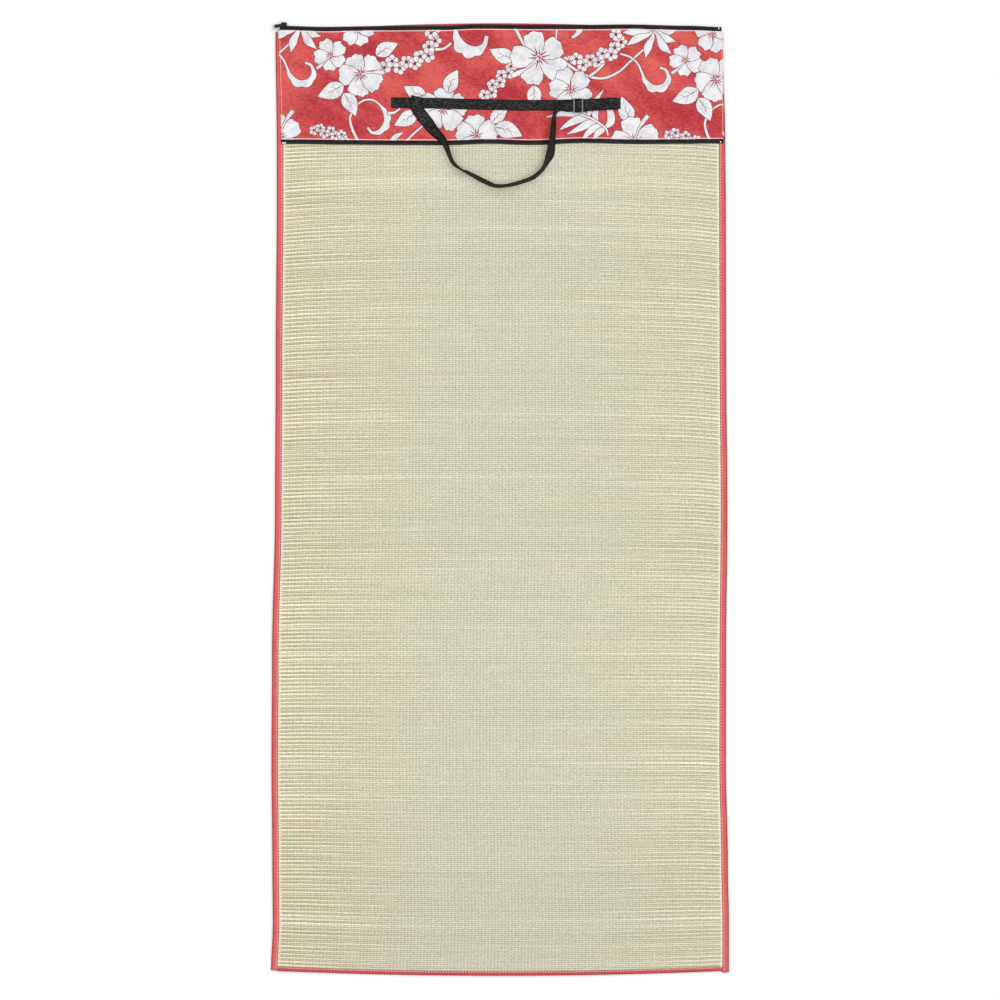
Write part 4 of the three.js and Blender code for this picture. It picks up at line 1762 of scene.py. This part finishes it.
    def build(self, side_thread: Material, zip_thread: Material) -> list[Piece]:
        """Builds the printed cloth and the sewing along its edges.

        Args:
            side_thread: finish of the thread along its sides.
            zip_thread: finish of the thread along the zip tapes.

        Returns:
            The cloth and its sewing.
        """
        flat, triangles, colours = self.printed()
        low = self.under(flat[:, 0], flat[:, 1])
        upper = np.column_stack([flat, low + self.plan.cloth])
        lower = np.column_stack([flat, low])
        count = len(flat)
        edges = np.concatenate([triangles[:, [0, 1]], triangles[:, [1, 2]], triangles[:, [2, 0]]])
        order = np.sort(edges, axis=1)
        _, first, uses = np.unique(order, axis=0, return_index=True, return_counts=True)
        rim = edges[first[uses == 1]]
        walls = np.stack([rim[:, 1], rim[:, 0], rim[:, 0] + count, rim[:, 1] + count], 1)
        faces = triangles.tolist() + (triangles[:, ::-1] + count).tolist() + walls.tolist()
        piece = make_piece("panel_cloth", np.vstack([upper, lower]), faces)
        ground = np.tile((*Ink.GROUND.value, 0, 1), (len(triangles) + len(walls), 1))
        store(piece.data, "ink", np.vstack([colours, ground]), "FACE")
        hand_in(piece, PrintFinish().material(), "printed_cloth", "cover_panel")
        sewing = self.sew(side_thread, zip_thread)
        tall = float(np.mean(self.upper(flat[:, 0]) - self.lower(flat[:, 0])))
        return [piece, *sewing]

    def sewn_lines(self, hem: float, stretches: Sequence[tuple[int, int]]) -> list[tuple]:
        """Lines of sewing inside stretches of the border.

        Args:
            hem: how far the sewing is from the edge.
            stretches: first and last point of each along the border.

        Returns:
            Each line's points and the way it stands out.
        """
        inset = widened(self.border(), -hem)
        flat = [inset[first:last] for first, last in stretches]
        heights = [self.under(line[:, 0], line[:, 1]) + self.plan.cloth for line in flat]
        return [(np.column_stack([line, height]), (0, 0, 1)) for line, height in zip(flat, heights)]

    def sew(self, side_thread: Material, zip_thread: Material) -> list[Piece]:
        """Sews the panel's sides to the mat and its long edges to the zip tapes.

        Args:
            side_thread: finish of the sewing at the sides.
            zip_thread: finish along the zips.

        Returns:
            Both sewings.
        """
        right, top = self.long_points, self.long_points + self.side_points
        left, end = right + top, 2 * top
        sides = self.sewn_lines(self.hem, ((right, top), (left, end)))
        seams = self.sewn_lines(self.zip_hem, ((0, right), (top, left)))
        return [
            self.side_stitching.sew("panel_stitches", sides, side_thread, "printed_cloth"),
            self.zip_stitching.sew("zip_seam_stitches", seams, zip_thread, "printed_cloth"),
        ]


# The zip


@dataclass
class ZipHalf:
    """One half of the zip: woven tape with a nylon coil along its outer edge."""

    plan: MatPlan
    upper: bool
    left: float
    right: float
    bare_left: float
    bare_right: float = 7
    width: float = 13.3
    pitch: float = 1.5
    wire: float = 0.52
    clear: float = 1
    tape_edge: float = 0.4
    tape_stations: int = 150
    core_stations: int = 120
    core_middle: tuple = (2, 1.3)
    core_half: tuple = (1.5, 0.55)
    # How far in and how high, and for the wire's skin which way it lies from its middle
    tape_top: tuple = ((5, 0.95), (4.2, 0.8), (0.4, 0.8), (0, 0.4))
    coil_bend: tuple = ((0.3, 1.05), (0.45, 1.75), (1.3, 2.0), (2.8, 2.0), (3.7, 1.6), (3.9, 0.95))
    coil_away: tuple = ((-0.5, 0.5), (-0.4, 0.9), (-0.1, 1), (0.1, 1), (0.5, 0.8), (0.9, 0.2))

    @property
    def name(self) -> str:
        """Which half it is."""
        return "upper" if self.upper else "lower"

    def place(self, x: Any, inward: Any, z: Any) -> Points:
        """A place this far in from the outer edge, and this high on the tape's bed.

        Args:
            x: places across.
            inward: how far in.
            z: how high.

        Returns:
            The points.
        """
        plan = self.plan
        if self.upper:
            y, bed = plan.upper_zip(x) - inward, plan.binding_top + plan.gap
        else:
            y, bed = plan.lower_zip(x) + inward, plan.rush + plan.gap + plan.side_rise(x)
        return np.stack(np.broadcast_arrays(x, y, bed + z), -1)

    def build_tape(self, finish: Material) -> Piece:
        """Makes the tape.

        Args:
            finish: its finish.

        Returns:
            The piece.
        """
        x = np.linspace(self.left, self.right, self.tape_stations)
        lower = [(self.tape_edge, 0), (self.width, 0), (self.width, self.plan.cloth)]
        section = np.array(lower + list(self.tape_top))
        rings = self.place(x[:, None], section[:, 0], section[:, 1])
        piece = band(f"{self.name}_zip_tape", rings, x, section)
        return hand_in(piece, finish, "zip_tape", f"zip_{self.name}")

    def build_coil(self, finish: Material) -> Piece:
        """Makes the coil's turns and the core that they go round.

        Args:
            finish: its finish.

        Returns:
            The piece.
        """
        first, last = self.left + self.bare_left + self.clear, self.right - self.bare_right - self.clear
        teeth = np.arange(first, last, self.pitch)
        turn = np.arange(6) * math.pi / 3
        cos, sin = np.cos(turn), np.sin(turn)
        bend, away = np.array(self.coil_bend)[..., None], np.array(self.coil_away)[..., None] * self.wire
        path = bend + away * sin
        turns = tubes(self.place(teeth[:, None, None] + self.wire * cos, path[:, 0], path[:, 1]))
        core_x = np.linspace(teeth[0], teeth[-1], self.core_stations)[:, None]
        (inward, high), (half_wide, half_high) = self.core_middle, self.core_half
        core = tubes(self.place(core_x, inward + half_wide * cos, high + half_high * sin)[None])
        faces = turns[1] + [[number + len(turns[0]) for number in face] for face in core[1]]
        piece = make_piece(f"{self.name}_zip_coil", np.vstack([turns[0], core[0]]), faces, sharp=120)
        return hand_in(piece, finish, "zip_tape")

    def build(self, tape: Material, coil: Material) -> list[Piece]:
        """Builds the tape and its coil.

        Args:
            tape: the tape's finish.
            coil: the coil's finish.

        Returns:
            The tape and the coil.
        """
        pieces = [self.build_tape(tape), self.build_coil(coil)]
        return pieces


# Modelling by hand


def only(piece: Piece) -> None:
    """Selects one piece and nothing else.

    Args:
        piece: the piece to select.
    """
    bpy.ops.object.select_all(action="DESELECT")
    piece.select_set(True)
    bpy.context.view_layer.objects.active = piece


@contextmanager
def editing(piece: Piece) -> Iterator[None]:
    """Edit mode on one piece, with nothing selected at first.

    Args:
        piece: the piece to edit.

    Yields:
        Nothing, while it is in edit mode.
    """
    only(piece)
    bpy.ops.object.mode_set(mode="EDIT")
    bpy.ops.mesh.select_all(action="DESELECT")
    yield
    bpy.ops.object.mode_set(mode="OBJECT")


def pick(piece: Piece, kind: str, test: Callable[[Vector, Vector], bool]) -> None:
    """Selects what passes a test, in edit mode.

    Args:
        piece: the piece that is edited.
        kind: VERT, EDGE or FACE.
        test: takes a place in millimetres and a direction, a face's normal or an edge's run.
    """
    bpy.ops.mesh.select_mode(type=kind)
    bpy.ops.mesh.select_all(action="DESELECT")
    mesh = bmesh.from_edit_mesh(piece.data)
    if kind == "VERT":
        for vert in mesh.verts:
            vert.select_set(test(vert.co / MM, vert.normal))
    elif kind == "EDGE":
        for edge in mesh.edges:
            a, b = edge.verts
            edge.select_set(test((a.co + b.co) / 2 / MM, (b.co - a.co).normalized()))
    else:
        for face in mesh.faces:
            face.select_set(test(face.calc_center_median() / MM, face.normal))
    mesh.select_flush_mode()
    bmesh.update_edit_mesh(piece.data)


def block(name: str, size: Sequence[float], centre: Sequence[float]) -> Piece:
    """A box to start a hard piece from, at its size and place in millimetres.

    Args:
        name: the piece's name.
        size: along X, Y and Z.
        centre: its middle.

    Returns:
        The piece.
    """
    bpy.ops.object.select_all(action="DESELECT")
    bpy.ops.mesh.primitive_cube_add(size=1, location=[c * MM for c in centre], scale=[s * MM for s in size])
    piece = bpy.context.object
    piece.name = piece.data.name = name
    bpy.ops.object.transform_apply(location=True, rotation=True, scale=True)
    return piece


def cut(places: Sequence[tuple[str, float]]) -> None:
    """Bisects the piece in edit mode at places along an axis.

    Args:
        places: the axis and place of each cut.
    """
    for axis, place in places:
        normal = [float(axis == name) for name in "XYZ"]
        bpy.ops.mesh.select_all(action="SELECT")
        bpy.ops.mesh.bisect(plane_co=[place * MM * n for n in normal], plane_no=normal)


def window(piece: Piece, test: Callable[[Vector, Vector], bool]) -> None:
    """Opens a window through a piece between the upper and lower faces that pass a test, in edit mode.

    Args:
        piece: the piece in edit mode.
        test: says from a face's middle and normal whether it goes.
    """
    pick(piece, "FACE", test)
    bpy.ops.mesh.delete(type="ONLY_FACE")
    bpy.ops.mesh.select_mode(type="EDGE")
    bpy.ops.mesh.select_all(action="DESELECT")
    bpy.ops.mesh.select_non_manifold()
    bpy.ops.mesh.bridge_edge_loops()


def moved(offset: Sequence[float]) -> None:
    """Moves what is selected by millimetres."""
    bpy.ops.transform.translate(value=[o * MM for o in offset])


def solid_box(node: str) -> tuple[Points, Points]:
    """Size and middle of a solid's box, in millimetres."""
    low, high = (np.array(corner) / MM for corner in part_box(node))
    return high - low, (low + high) / 2


def rounded(piece: Piece, width: float, segments: int = 3, angle: float = 40) -> Piece:
    """Rounds a piece's edges and smooths its shading.

    Args:
        piece: the piece.
        width: the bevel's width.
        segments: its steps.
        angle: least turn of a bevelled edge, in degrees.

    Returns:
        The same piece.
    """
    only(piece)
    bevel = piece.modifiers.new("rounding", "BEVEL")
    bevel.width, bevel.segments, bevel.angle_limit = width * MM, segments, math.radians(angle)
    bevel.limit_method = "ANGLE"
    bpy.ops.object.modifier_apply(modifier=bevel.name)
    bpy.ops.object.shade_smooth_by_angle(angle=math.radians(angle))
    return piece


def welded(whole: Piece, *others: Piece) -> Piece:
    """Joins overlapping pieces into one closed skin.

    Args:
        whole: the piece that stays.
        others: the pieces that join it.

    Returns:
        The whole piece.
    """
    for other in others:
        only(whole)
        union = whole.modifiers.new("union", "BOOLEAN")
        union.operation, union.solver, union.object = "UNION", "EXACT", other
        bpy.ops.object.modifier_apply(modifier=union.name)
        bpy.data.objects.remove(other)
    return whole


@dataclass
class ZipHardware:
    """Slider with its pull, stops and pin."""

    plan: MatPlan
    slider_x: float = -407.5
    length: float = 11
    wall: float = 2.2
    plate: float = 1.2
    outer: float = 6.4
    mouth: float = -3.6
    lip: float = -2.4
    coil: float = 2.5
    arch_y: float = 1.2
    sunk: float = 0.2
    shoulder: float = 2
    end_narrow: tuple = (0.86, 0.72)
    wall_share: float = 0.8
    wall_in: float = 0.15
    arch_half: float = 4.0
    arch_wide: float = 2.6
    arch_post: float = 1.5
    arch_clear: float = 1.9
    arch_beam: float = 1.2
    arch_narrow: float = 0.82
    pull_tip: float = -21.7
    pull_heel: float = 1.6
    pull_half: float = 3.2
    pull_thick: float = 1.2
    pull_turn: float = 9
    tip_round: float = 2.6
    heel_half: float = 2.7
    eye_half: float = 2.15
    eye_from: float = -5.4
    eye_to: float = -0.6
    groove_rim: float = 0.55
    groove_deep: float = 0.35
    body_round: float = 0.28
    pull_round: float = 0.25
    clamp_round: float = 0.3
    worn_tip: tuple = (5, 2.5)

    @property
    def bed(self) -> float:
        """Height of the tape's underside."""
        return self.plan.binding_top + self.plan.gap

    @property
    def deck(self) -> float:
        """Height of the slider's top plate."""
        return self.bed + self.coil + self.plan.gap

    @property
    def zip_y(self) -> float:
        """Outer edge of the zip at the slider."""
        return float(self.plan.upper_zip(self.slider_x))

    def slider(self, enamel: Material) -> Piece:
        """Models the slider: two plates round the coil, a side wall, and an arch over the top plate.

        Args:
            enamel: its finish.

        Returns:
            The piece.
        """
        x, y, gap, plate = self.slider_x, self.zip_y, self.plan.gap, self.plate
        wide, sole_wide = self.outer - self.mouth, self.outer - self.lip
        deck_at = (x, y + self.mouth + wide / 2, self.deck + plate / 2)
        deck = block("slider_body", (self.length, wide, plate), deck_at)
        with editing(deck):
            cut([("X", x - self.shoulder), ("X", x + self.shoulder)])
            for way, narrow in zip((-1, 1), self.end_narrow):
                pick(deck, "VERT", lambda at, _: (at.x - x) * way > self.length / 2 - NEAR)
                bpy.ops.transform.resize(value=(1, narrow, 1))
        sole_at = (x, y + self.lip + sole_wide / 2, self.bed - gap - plate / 2)
        sole = block("slider_sole", (self.length, sole_wide, plate), sole_at)
        wall_tall = self.coil + 2 * (gap + plate - self.sunk)
        wall_at = (x, y + self.outer - self.wall / 2 - self.wall_in, self.bed + self.coil / 2)
        wall = block("slider_wall", (self.length * self.wall_share, self.wall, wall_tall), wall_at)
        piece = rounded(welded(deck, sole, wall, self.arch()), self.body_round, 2)
        return hand_in(piece, enamel, "zip_enamel", "zip_slider")

    def arch(self) -> Piece:
        """Models the arch that holds the pull.

        Returns:
            The piece.
        """
        x, y, deck = self.slider_x, self.zip_y + self.arch_y, self.deck + self.plate
        half, inside, soffit = self.arch_half, self.arch_half - self.arch_post, deck + self.arch_clear
        tall = self.arch_clear + self.arch_beam + self.sunk
        piece = block("slider_arch", (2 * half, self.arch_wide, tall), (x, y, deck - self.sunk + tall / 2))
        with editing(piece):
            cut([("X", x - inside), ("X", x + inside), ("Z", soffit)])
            window(piece, lambda at, way: abs(way.y) > FACING and abs(at.x - x) < inside and at.z < soffit)
            pick(piece, "VERT", lambda at, _: at.z > soffit + NEAR and abs(at.x - x) > inside + NEAR)
            bpy.ops.transform.resize(value=(self.arch_narrow, 1, 1))
        return piece

    def pull(self, enamel: Material) -> Piece:
        """Models the pull tab: a plate with an eye, a rounded tip and a narrow heel.

        Args:
            enamel: its finish.

        Returns:
            The piece.
        """
        x, y, eye, half = self.slider_x, self.zip_y + self.arch_y, self.eye_half, self.pull_half
        z = self.deck + self.plate + self.plan.gap + self.pull_thick / 2
        middle = x + (self.pull_heel + self.pull_tip) / 2
        piece = block("pull_tab", (self.pull_heel - self.pull_tip, 2 * half, self.pull_thick), (middle, y, z))

        def is_eye(at: Vector, way: Vector) -> bool:
            """Whether a face closes the eye."""
            return abs(way.z) > FACING and self.eye_from < at.x - x < self.eye_to and abs(at.y - y) < eye

        def is_tip(at: Vector, way: Vector) -> bool:
            """Whether an edge stands at a corner of the tip."""
            return abs(way.z) > FACING and at.x < x + self.pull_tip + NEAR and abs(at.y - y) > half - NEAR

        with editing(piece):
            cut([("X", x + self.eye_from), ("X", x + self.eye_to), ("Y", y - eye), ("Y", y + eye)])
            window(piece, is_eye)
            pick(piece, "VERT", lambda at, _: at.x > x + self.pull_heel - NEAR)
            bpy.ops.transform.resize(value=(1, self.heel_half / half, 1))
            pick(piece, "EDGE", is_tip)
            bpy.ops.mesh.bevel(offset=self.tip_round * MM, segments=6, affect="EDGES")
            bpy.ops.mesh.select_all(action="SELECT")
            turn, pivot = math.radians(self.pull_turn), (x * MM, y * MM, z * MM)
            bpy.ops.transform.rotate(value=-turn, orient_axis="Z", center_override=pivot)
        return hand_in(rounded(piece, self.pull_round, 2), enamel, "zip_enamel", "zip_pull")

    def clamp(self, name: str, node: str, metal: Material) -> Piece:
        """Models a stop or pin: a small clamped block, grooved along its top.

        Args:
            name: the piece's name.
            node: the node it stands for.
            metal: its finish.

        Returns:
            The piece.
        """
        piece = block(name, *solid_box(node))
        with editing(piece):
            pick(piece, "FACE", lambda _, way: way.z > FACING)
            bpy.ops.mesh.inset(thickness=self.groove_rim * MM)
            moved((0, 0, -self.groove_deep))
        return hand_in(rounded(piece, self.clamp_round), metal, "zip_metal", node)

    def build(self) -> list[Piece]:
        """Builds the hard pieces of the zip.

        Returns:
            The pieces.
        """
        tip = self.slider_x + self.pull_tip
        start, end = (tip + far for far in self.worn_tip)
        plain = HardFinish("zip_enamel", srgb(10, 10, 11), srgb(30, 30, 33), rough=0.4, shine=0.25)
        rubbed_and_highlit = replace(plain, name="worn_enamel", worn_and_highlit=srgb(172, 172, 170), worn_from=start, worn_to=end)
        enamel, worn_and_highlit = plain.material(), rubbed_and_highlit.material()
        bare = HardFinish("zip_metal", srgb(206, 205, 201), srgb(166, 165, 161), rough=0.4, metal=0.3)
        metal = bare.material()
        return [
            self.slider(enamel),
            self.pull(worn_and_highlit),
            self.clamp("upper_stop", "zip_stop_upper", metal),
            self.clamp("lower_stop", "zip_stop_lower", metal),
            self.clamp("lower_pin", "zip_pin", metal),
        ]


# The carry strap


@dataclass
class CarryStrap:
    """Webbing band sewn to the panel, the loop that comes off it, and the slide on the loop's right end."""

    plan: MatPlan
    base_width: float = 20
    loop_width: float = 22.5
    thick: float = 1.5
    base_left: float = -205.5
    base_right: float = 227.5
    slack: float = 0.1
    selvedge: tuple = (0.5, 0.75)
    thinner_from: float = 2
    flat_half: float = 3
    base_stations: int = 90
    box_in: float = 3
    box_long: float = 18
    box_half: float = 8
    box_lift: float = 0.3
    box_points: int = 12
    stitching: Stitching = Stitching(2.6, 2.0, 0.32, 0.25)
    rail: float = 1.2
    bar: float = 3.6
    bar_tall: float = 2.0
    middle_tall: float = 1.4
    slide_round: float = 0.45
    slide_turn: float = 30
    # X of the painted highlight lines near the inner edges of the slide's outer bars
    rubbed_and_highlit: tuple = (139.8, 155.1)
    # X, y, lean in degrees, and height of the lower edge
    route: tuple = (
        (-156, 759.3, 0, 6.9),
        (-158.3, 748, 0, 6.9),
        (-156, 736, 0, 6.9),
        (-147.5, 723.5, 0, 6.7),
        (-137.5, 711, 5, 6.4),
        (-130.5, 701.5, 24, 6.3),
        (-122, 691.5, 37, 6.4),
        (-110.5, 680, 52, 6.5),
        (-103.5, 669.5, 61, 6.5),
        (-98.2, 656, 68, 4.4),
        (-92.5, 641, 73, 3.7),
        (-86, 631, 76, 3.7),
        (-73, 621, 85, 3.7),
        (-62, 615.8, 79, 3.7),
        (-44, 606.2, 73, 3.7),
        (-22.5, 595.5, 72, 3.7),
        (-8, 590.2, 77, 3.7),
        (8, 590.3, 78, 3.7),
        (25, 593.2, 76, 3.7),
        (50, 600.8, 75, 3.7),
        (65.5, 608, 73, 3.7),
        (80, 621.3, 74, 3.7),
        (88, 635.5, 65, 3.7),
        (94.3, 649.5, 48, 4.2),
        (96.8, 664, 51, 6.3),
        (98.6, 678.5, 60, 6.6),
        (100.1, 692, 63, 6.4),
        (101.2, 708, 66, 6.2),
        (102.6, 723.5, 73, 6.6),
        (108, 734, 68, 6.9),
        (117.5, 739.6, 40, 7.1),
        (127.5, 741.3, 8, 7.8),
        (136.5, 741.8, 0, 8.4),
        (158, 742.3, 0, 8.4),
        (171, 743.2, 0, 7.3),
        (195, 744.8, 0, 6.9),
        (221, 746.2, 0, 6.9),
    )

    @property
    def base_under(self) -> float:
        """Height of the base band's underside."""
        return self.plan.rush + self.plan.gap + self.plan.layer + self.slack

    def section(self, width: float) -> Points:
        """The webbing's section, thinner at its selvedges.

        Args:
            width: the band's width.

        Returns:
            Points round it, by how far across and how high.
        """
        half, t = width / 2, self.thick / 2
        inset, thin = self.selvedge[0], self.selvedge[1] * t
        full = half - self.thinner_from
        flat = [(across, t) for across in (full, self.flat_half, -self.flat_half, -full)]
        upper = [(half, 0), (half - inset, thin), *flat, (inset - half, thin)]
        lower = [(-across, -z) for across, z in upper]
        return np.array(upper + lower)

    def base(self, finish: Material) -> Piece:
        """Builds the band along the panel.

        Args:
            finish: its finish.

        Returns:
            The piece.
        """
        x = np.linspace(self.base_left, self.base_right, self.base_stations)
        section = self.section(self.base_width)
        rings = np.empty((len(x), len(section), 3))
        rings[..., 0] = x[:, None]
        rings[..., 1] = self.plan.strap(x)[:, None] + section[:, 0]
        rings[..., 2] = self.base_under + self.thick / 2 + section[:, 1]
        piece = band("base_webbing", rings, x, section)
        hand_in(piece, finish, "webbing", "strap_base")
        return piece

    def loop(self, finish: Material) -> Piece:
        """Builds the loop, which leans on its edge where it lies on the rush.

        Args:
            finish: its finish.

        Returns:
            The piece.
        """
        line = flowing(self.route, 6)
        place = np.column_stack([line[:, :2], np.zeros(len(line))])
        ahead = headings(place)
        lean = np.radians(line[:, 2])
        c, s = np.cos(lean), np.sin(lean)
        side = np.stack([-ahead[:, 1] * c, ahead[:, 0] * c, s], 1)
        face = np.cross(ahead, side)
        place[:, 2] = line[:, 3] + self.loop_width / 2 * np.abs(s) + self.thick / 2 * np.abs(c)
        section = self.section(self.loop_width)
        rings = place[:, None] + side[:, None] * section[:, 0, None] + face[:, None] * section[:, 1, None]
        run = measured(place)
        piece = band("loop_webbing", rings, run, section)
        hand_in(piece, finish, "webbing", "strap_loop")
        return piece

    def sewing(self, thread: Material) -> Piece:
        """Sews the band's two ends with crossed boxes, the right one through the loop's end lying on the
        band.

        Args:
            thread: its finish.

        Returns:
            The piece.
        """
        top = self.base_under + self.thick
        lines = []
        starts = (self.base_left + self.box_in, self.base_right - self.box_in - self.box_long)
        for left, lift in zip(starts, (top, top + self.box_lift + self.thick)):
            right = left + self.box_long
            middle = float(self.plan.strap((left + right) / 2))
            low, high = middle - self.box_half, middle + self.box_half
            corners = [(left, low), (right, low), (right, high), (left, high), (left, low), (right, high)]
            for a, b in zip(corners, corners[1:]):
                flat = np.linspace(a, b, self.box_points)
                lines.append((np.column_stack([flat, np.full(self.box_points, lift)]), (0, 0, 1)))
        return self.stitching.sew("strap_stitches", lines, thread, "webbing")

    def slide(self, plastic: Material) -> Piece:
        """Models the slide: a frame with a low middle bar under the loop and two high bars over it.

        Args:
            plastic: its finish.

        Returns:
            The piece.
        """
        size, centre = solid_box("strap_slide")
        x, y, inner_bar = centre[0], centre[1], self.bar / 2
        inner, edge = size[1] / 2 - self.rail, size[0] / 2 - self.bar
        piece = block("slide_frame", size, centre)

        def is_bar(at: Vector) -> bool:
            """Whether a place lies between the rails."""
            return abs(at.y - y) < inner + NEAR

        def is_gap(far: float) -> bool:
            """Whether this far from the middle is between two bars."""
            return inner_bar < far < edge

        with editing(piece):
            marks = [("X", x + far) for far in (-edge, -inner_bar, inner_bar, edge)]
            cut([*marks, ("Y", y - inner), ("Y", y + inner)])
            for end in (-1, 1):
                window(piece, lambda at, way: is_gap((at.x - x) * end) and is_bar(at) and abs(way.z) > FACING)
            pick(piece, "FACE", lambda at, way: way.z > FACING and is_bar(at) and abs(at.x - x) < inner_bar)
            moved((0, 0, self.middle_tall - size[2]))
            pick(piece, "FACE", lambda at, way: way.z < -FACING and is_bar(at) and abs(at.x - x) > edge)
            moved((0, 0, size[2] - self.bar_tall))
        rounded(piece, self.slide_round, angle=self.slide_turn)
        return hand_in(piece, plastic, "slide_plastic", "strap_slide")

    def build(self) -> list[Piece]:
        """Builds the strap.

        Returns:
            The pieces.
        """
        webbing = WebbingFinish("webbing", rib=1.9, cord=2.2, selvedge=8.4).material()
        thread = ThreadFinish("black_thread", srgb(52, 50, 52), srgb(24, 23, 25)).material()
        black, scuffed, worn_and_highlit = srgb(26, 26, 27), srgb(52, 52, 55), srgb(158, 158, 160)
        # The slide's pale lines are painted highlights
        slide = HardFinish("slide_plastic", black, scuffed, rough=0.4, worn_and_highlit=worn_and_highlit, rubbed_and_highlit=self.rubbed_and_highlit)
        plastic = slide.material()
        return [self.base(webbing), self.loop(webbing), self.sewing(thread), self.slide(plastic)]


# The studio


@dataclass(frozen=True)
class Studio:
    """Pale floor, a broad soft light overhead with some from all round, and a camera straight above."""

    lens: float = 200
    sensor: float = 36
    view: float = 1.887
    centre_y: float = -0.0019
    ambient: float = 0.35
    key: float = 2.38
    key_from: tuple = (0.12, 0.2, 1.0)
    softness: float = 80
    floor_size: float = 40
    floor_drop: float = 0.0004
    mat_top: float = 0.003

    def floor(self) -> None:
        """Lays the floor."""
        bpy.ops.object.select_all(action="DESELECT")
        bpy.ops.mesh.primitive_plane_add(size=self.floor_size, location=(0, 0, -self.floor_drop))
        floor = bpy.context.object
        floor.name = "studio_floor"
        floor.data.materials.append(FloorFinish().material())

    def light(self) -> None:
        """Sets the light."""
        scene = bpy.context.scene
        scene.world = bpy.data.worlds.new("studio_light")
        scene.world.use_nodes = True
        background = scene.world.node_tree.nodes["Background"]
        background.inputs["Color"].default_value = (1, 1, 1, 1)
        background.inputs["Strength"].default_value = self.ambient
        key = bpy.data.lights.new("key", "SUN")
        key.energy, key.angle = self.key, math.radians(self.softness)
        lamp = bpy.data.objects.new("key", key)
        lamp.rotation_euler = Vector(self.key_from).to_track_quat("Z", "Y").to_euler()
        scene.collection.objects.link(lamp)

    def camera(self) -> None:
        """Sets the camera above the mat, its head at the top of the picture."""
        scene = bpy.context.scene
        data = bpy.data.cameras.new("above")
        data.lens, data.sensor_width = self.lens, self.sensor
        camera = bpy.data.objects.new("above", data)
        camera.location = (0, self.centre_y, self.view * self.lens / self.sensor + self.mat_top)
        scene.collection.objects.link(camera)
        scene.camera = camera
        scene.view_settings.view_transform = "Standard"

    def build(self) -> None:
        """Builds the studio."""
        self.camera()
        self.floor()
        self.light()


def write_sizes() -> None:
    """Updates the view layer."""
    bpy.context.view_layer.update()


def main() -> None:
    """Builds the studio and the mat in order, and reports each piece."""
    logging.basicConfig(level=logging.INFO, format="%(message)s")
    plan = MatPlan()
    Studio().build()
    pieces = RushMat(plan).build()
    tape = BindingFinish().material()
    foot_tape = BindingFinish("foot_tape", srgb(197, 66, 71), srgb(172, 34, 48)).material()
    pink = ThreadFinish("pink_thread", srgb(252, 204, 198), srgb(238, 158, 154)).material()
    for side in Side:
        pieces += Binding(plan, side).build(foot_tape if side is Side.FOOT else tape, pink)
    pale = ThreadFinish("pale_thread", srgb(252, 214, 208), srgb(238, 170, 166)).material()
    seam = ThreadFinish("seam_thread", srgb(255, 236, 236), srgb(250, 212, 214)).material()
    pieces += CoverPanel(plan).build(pale, seam)
    grey, black = srgb(60, 56, 58), srgb(20, 19, 20)
    zip_tape = WebbingFinish("zip_tape", rib=0.8, cord=1.1, selvedge=20, light=grey, dark=black).material()
    coil = HardFinish("zip_coil", srgb(20, 20, 21), srgb(44, 44, 45), rough=0.5).material()
    pieces += ZipHalf(plan, upper=True, left=-415, right=418, bare_left=4.5).build(zip_tape, coil)
    pieces += ZipHalf(plan, upper=False, left=-413, right=421.5, bare_left=10).build(zip_tape, coil)
    pieces += ZipHardware(plan).build()
    pieces += CarryStrap(plan).build()
    for piece in pieces:
        LOG.info("%s: %d faces", piece.name, len(piece.data.polygons))
    write_sizes()


if __name__ == "__main__":
    main()
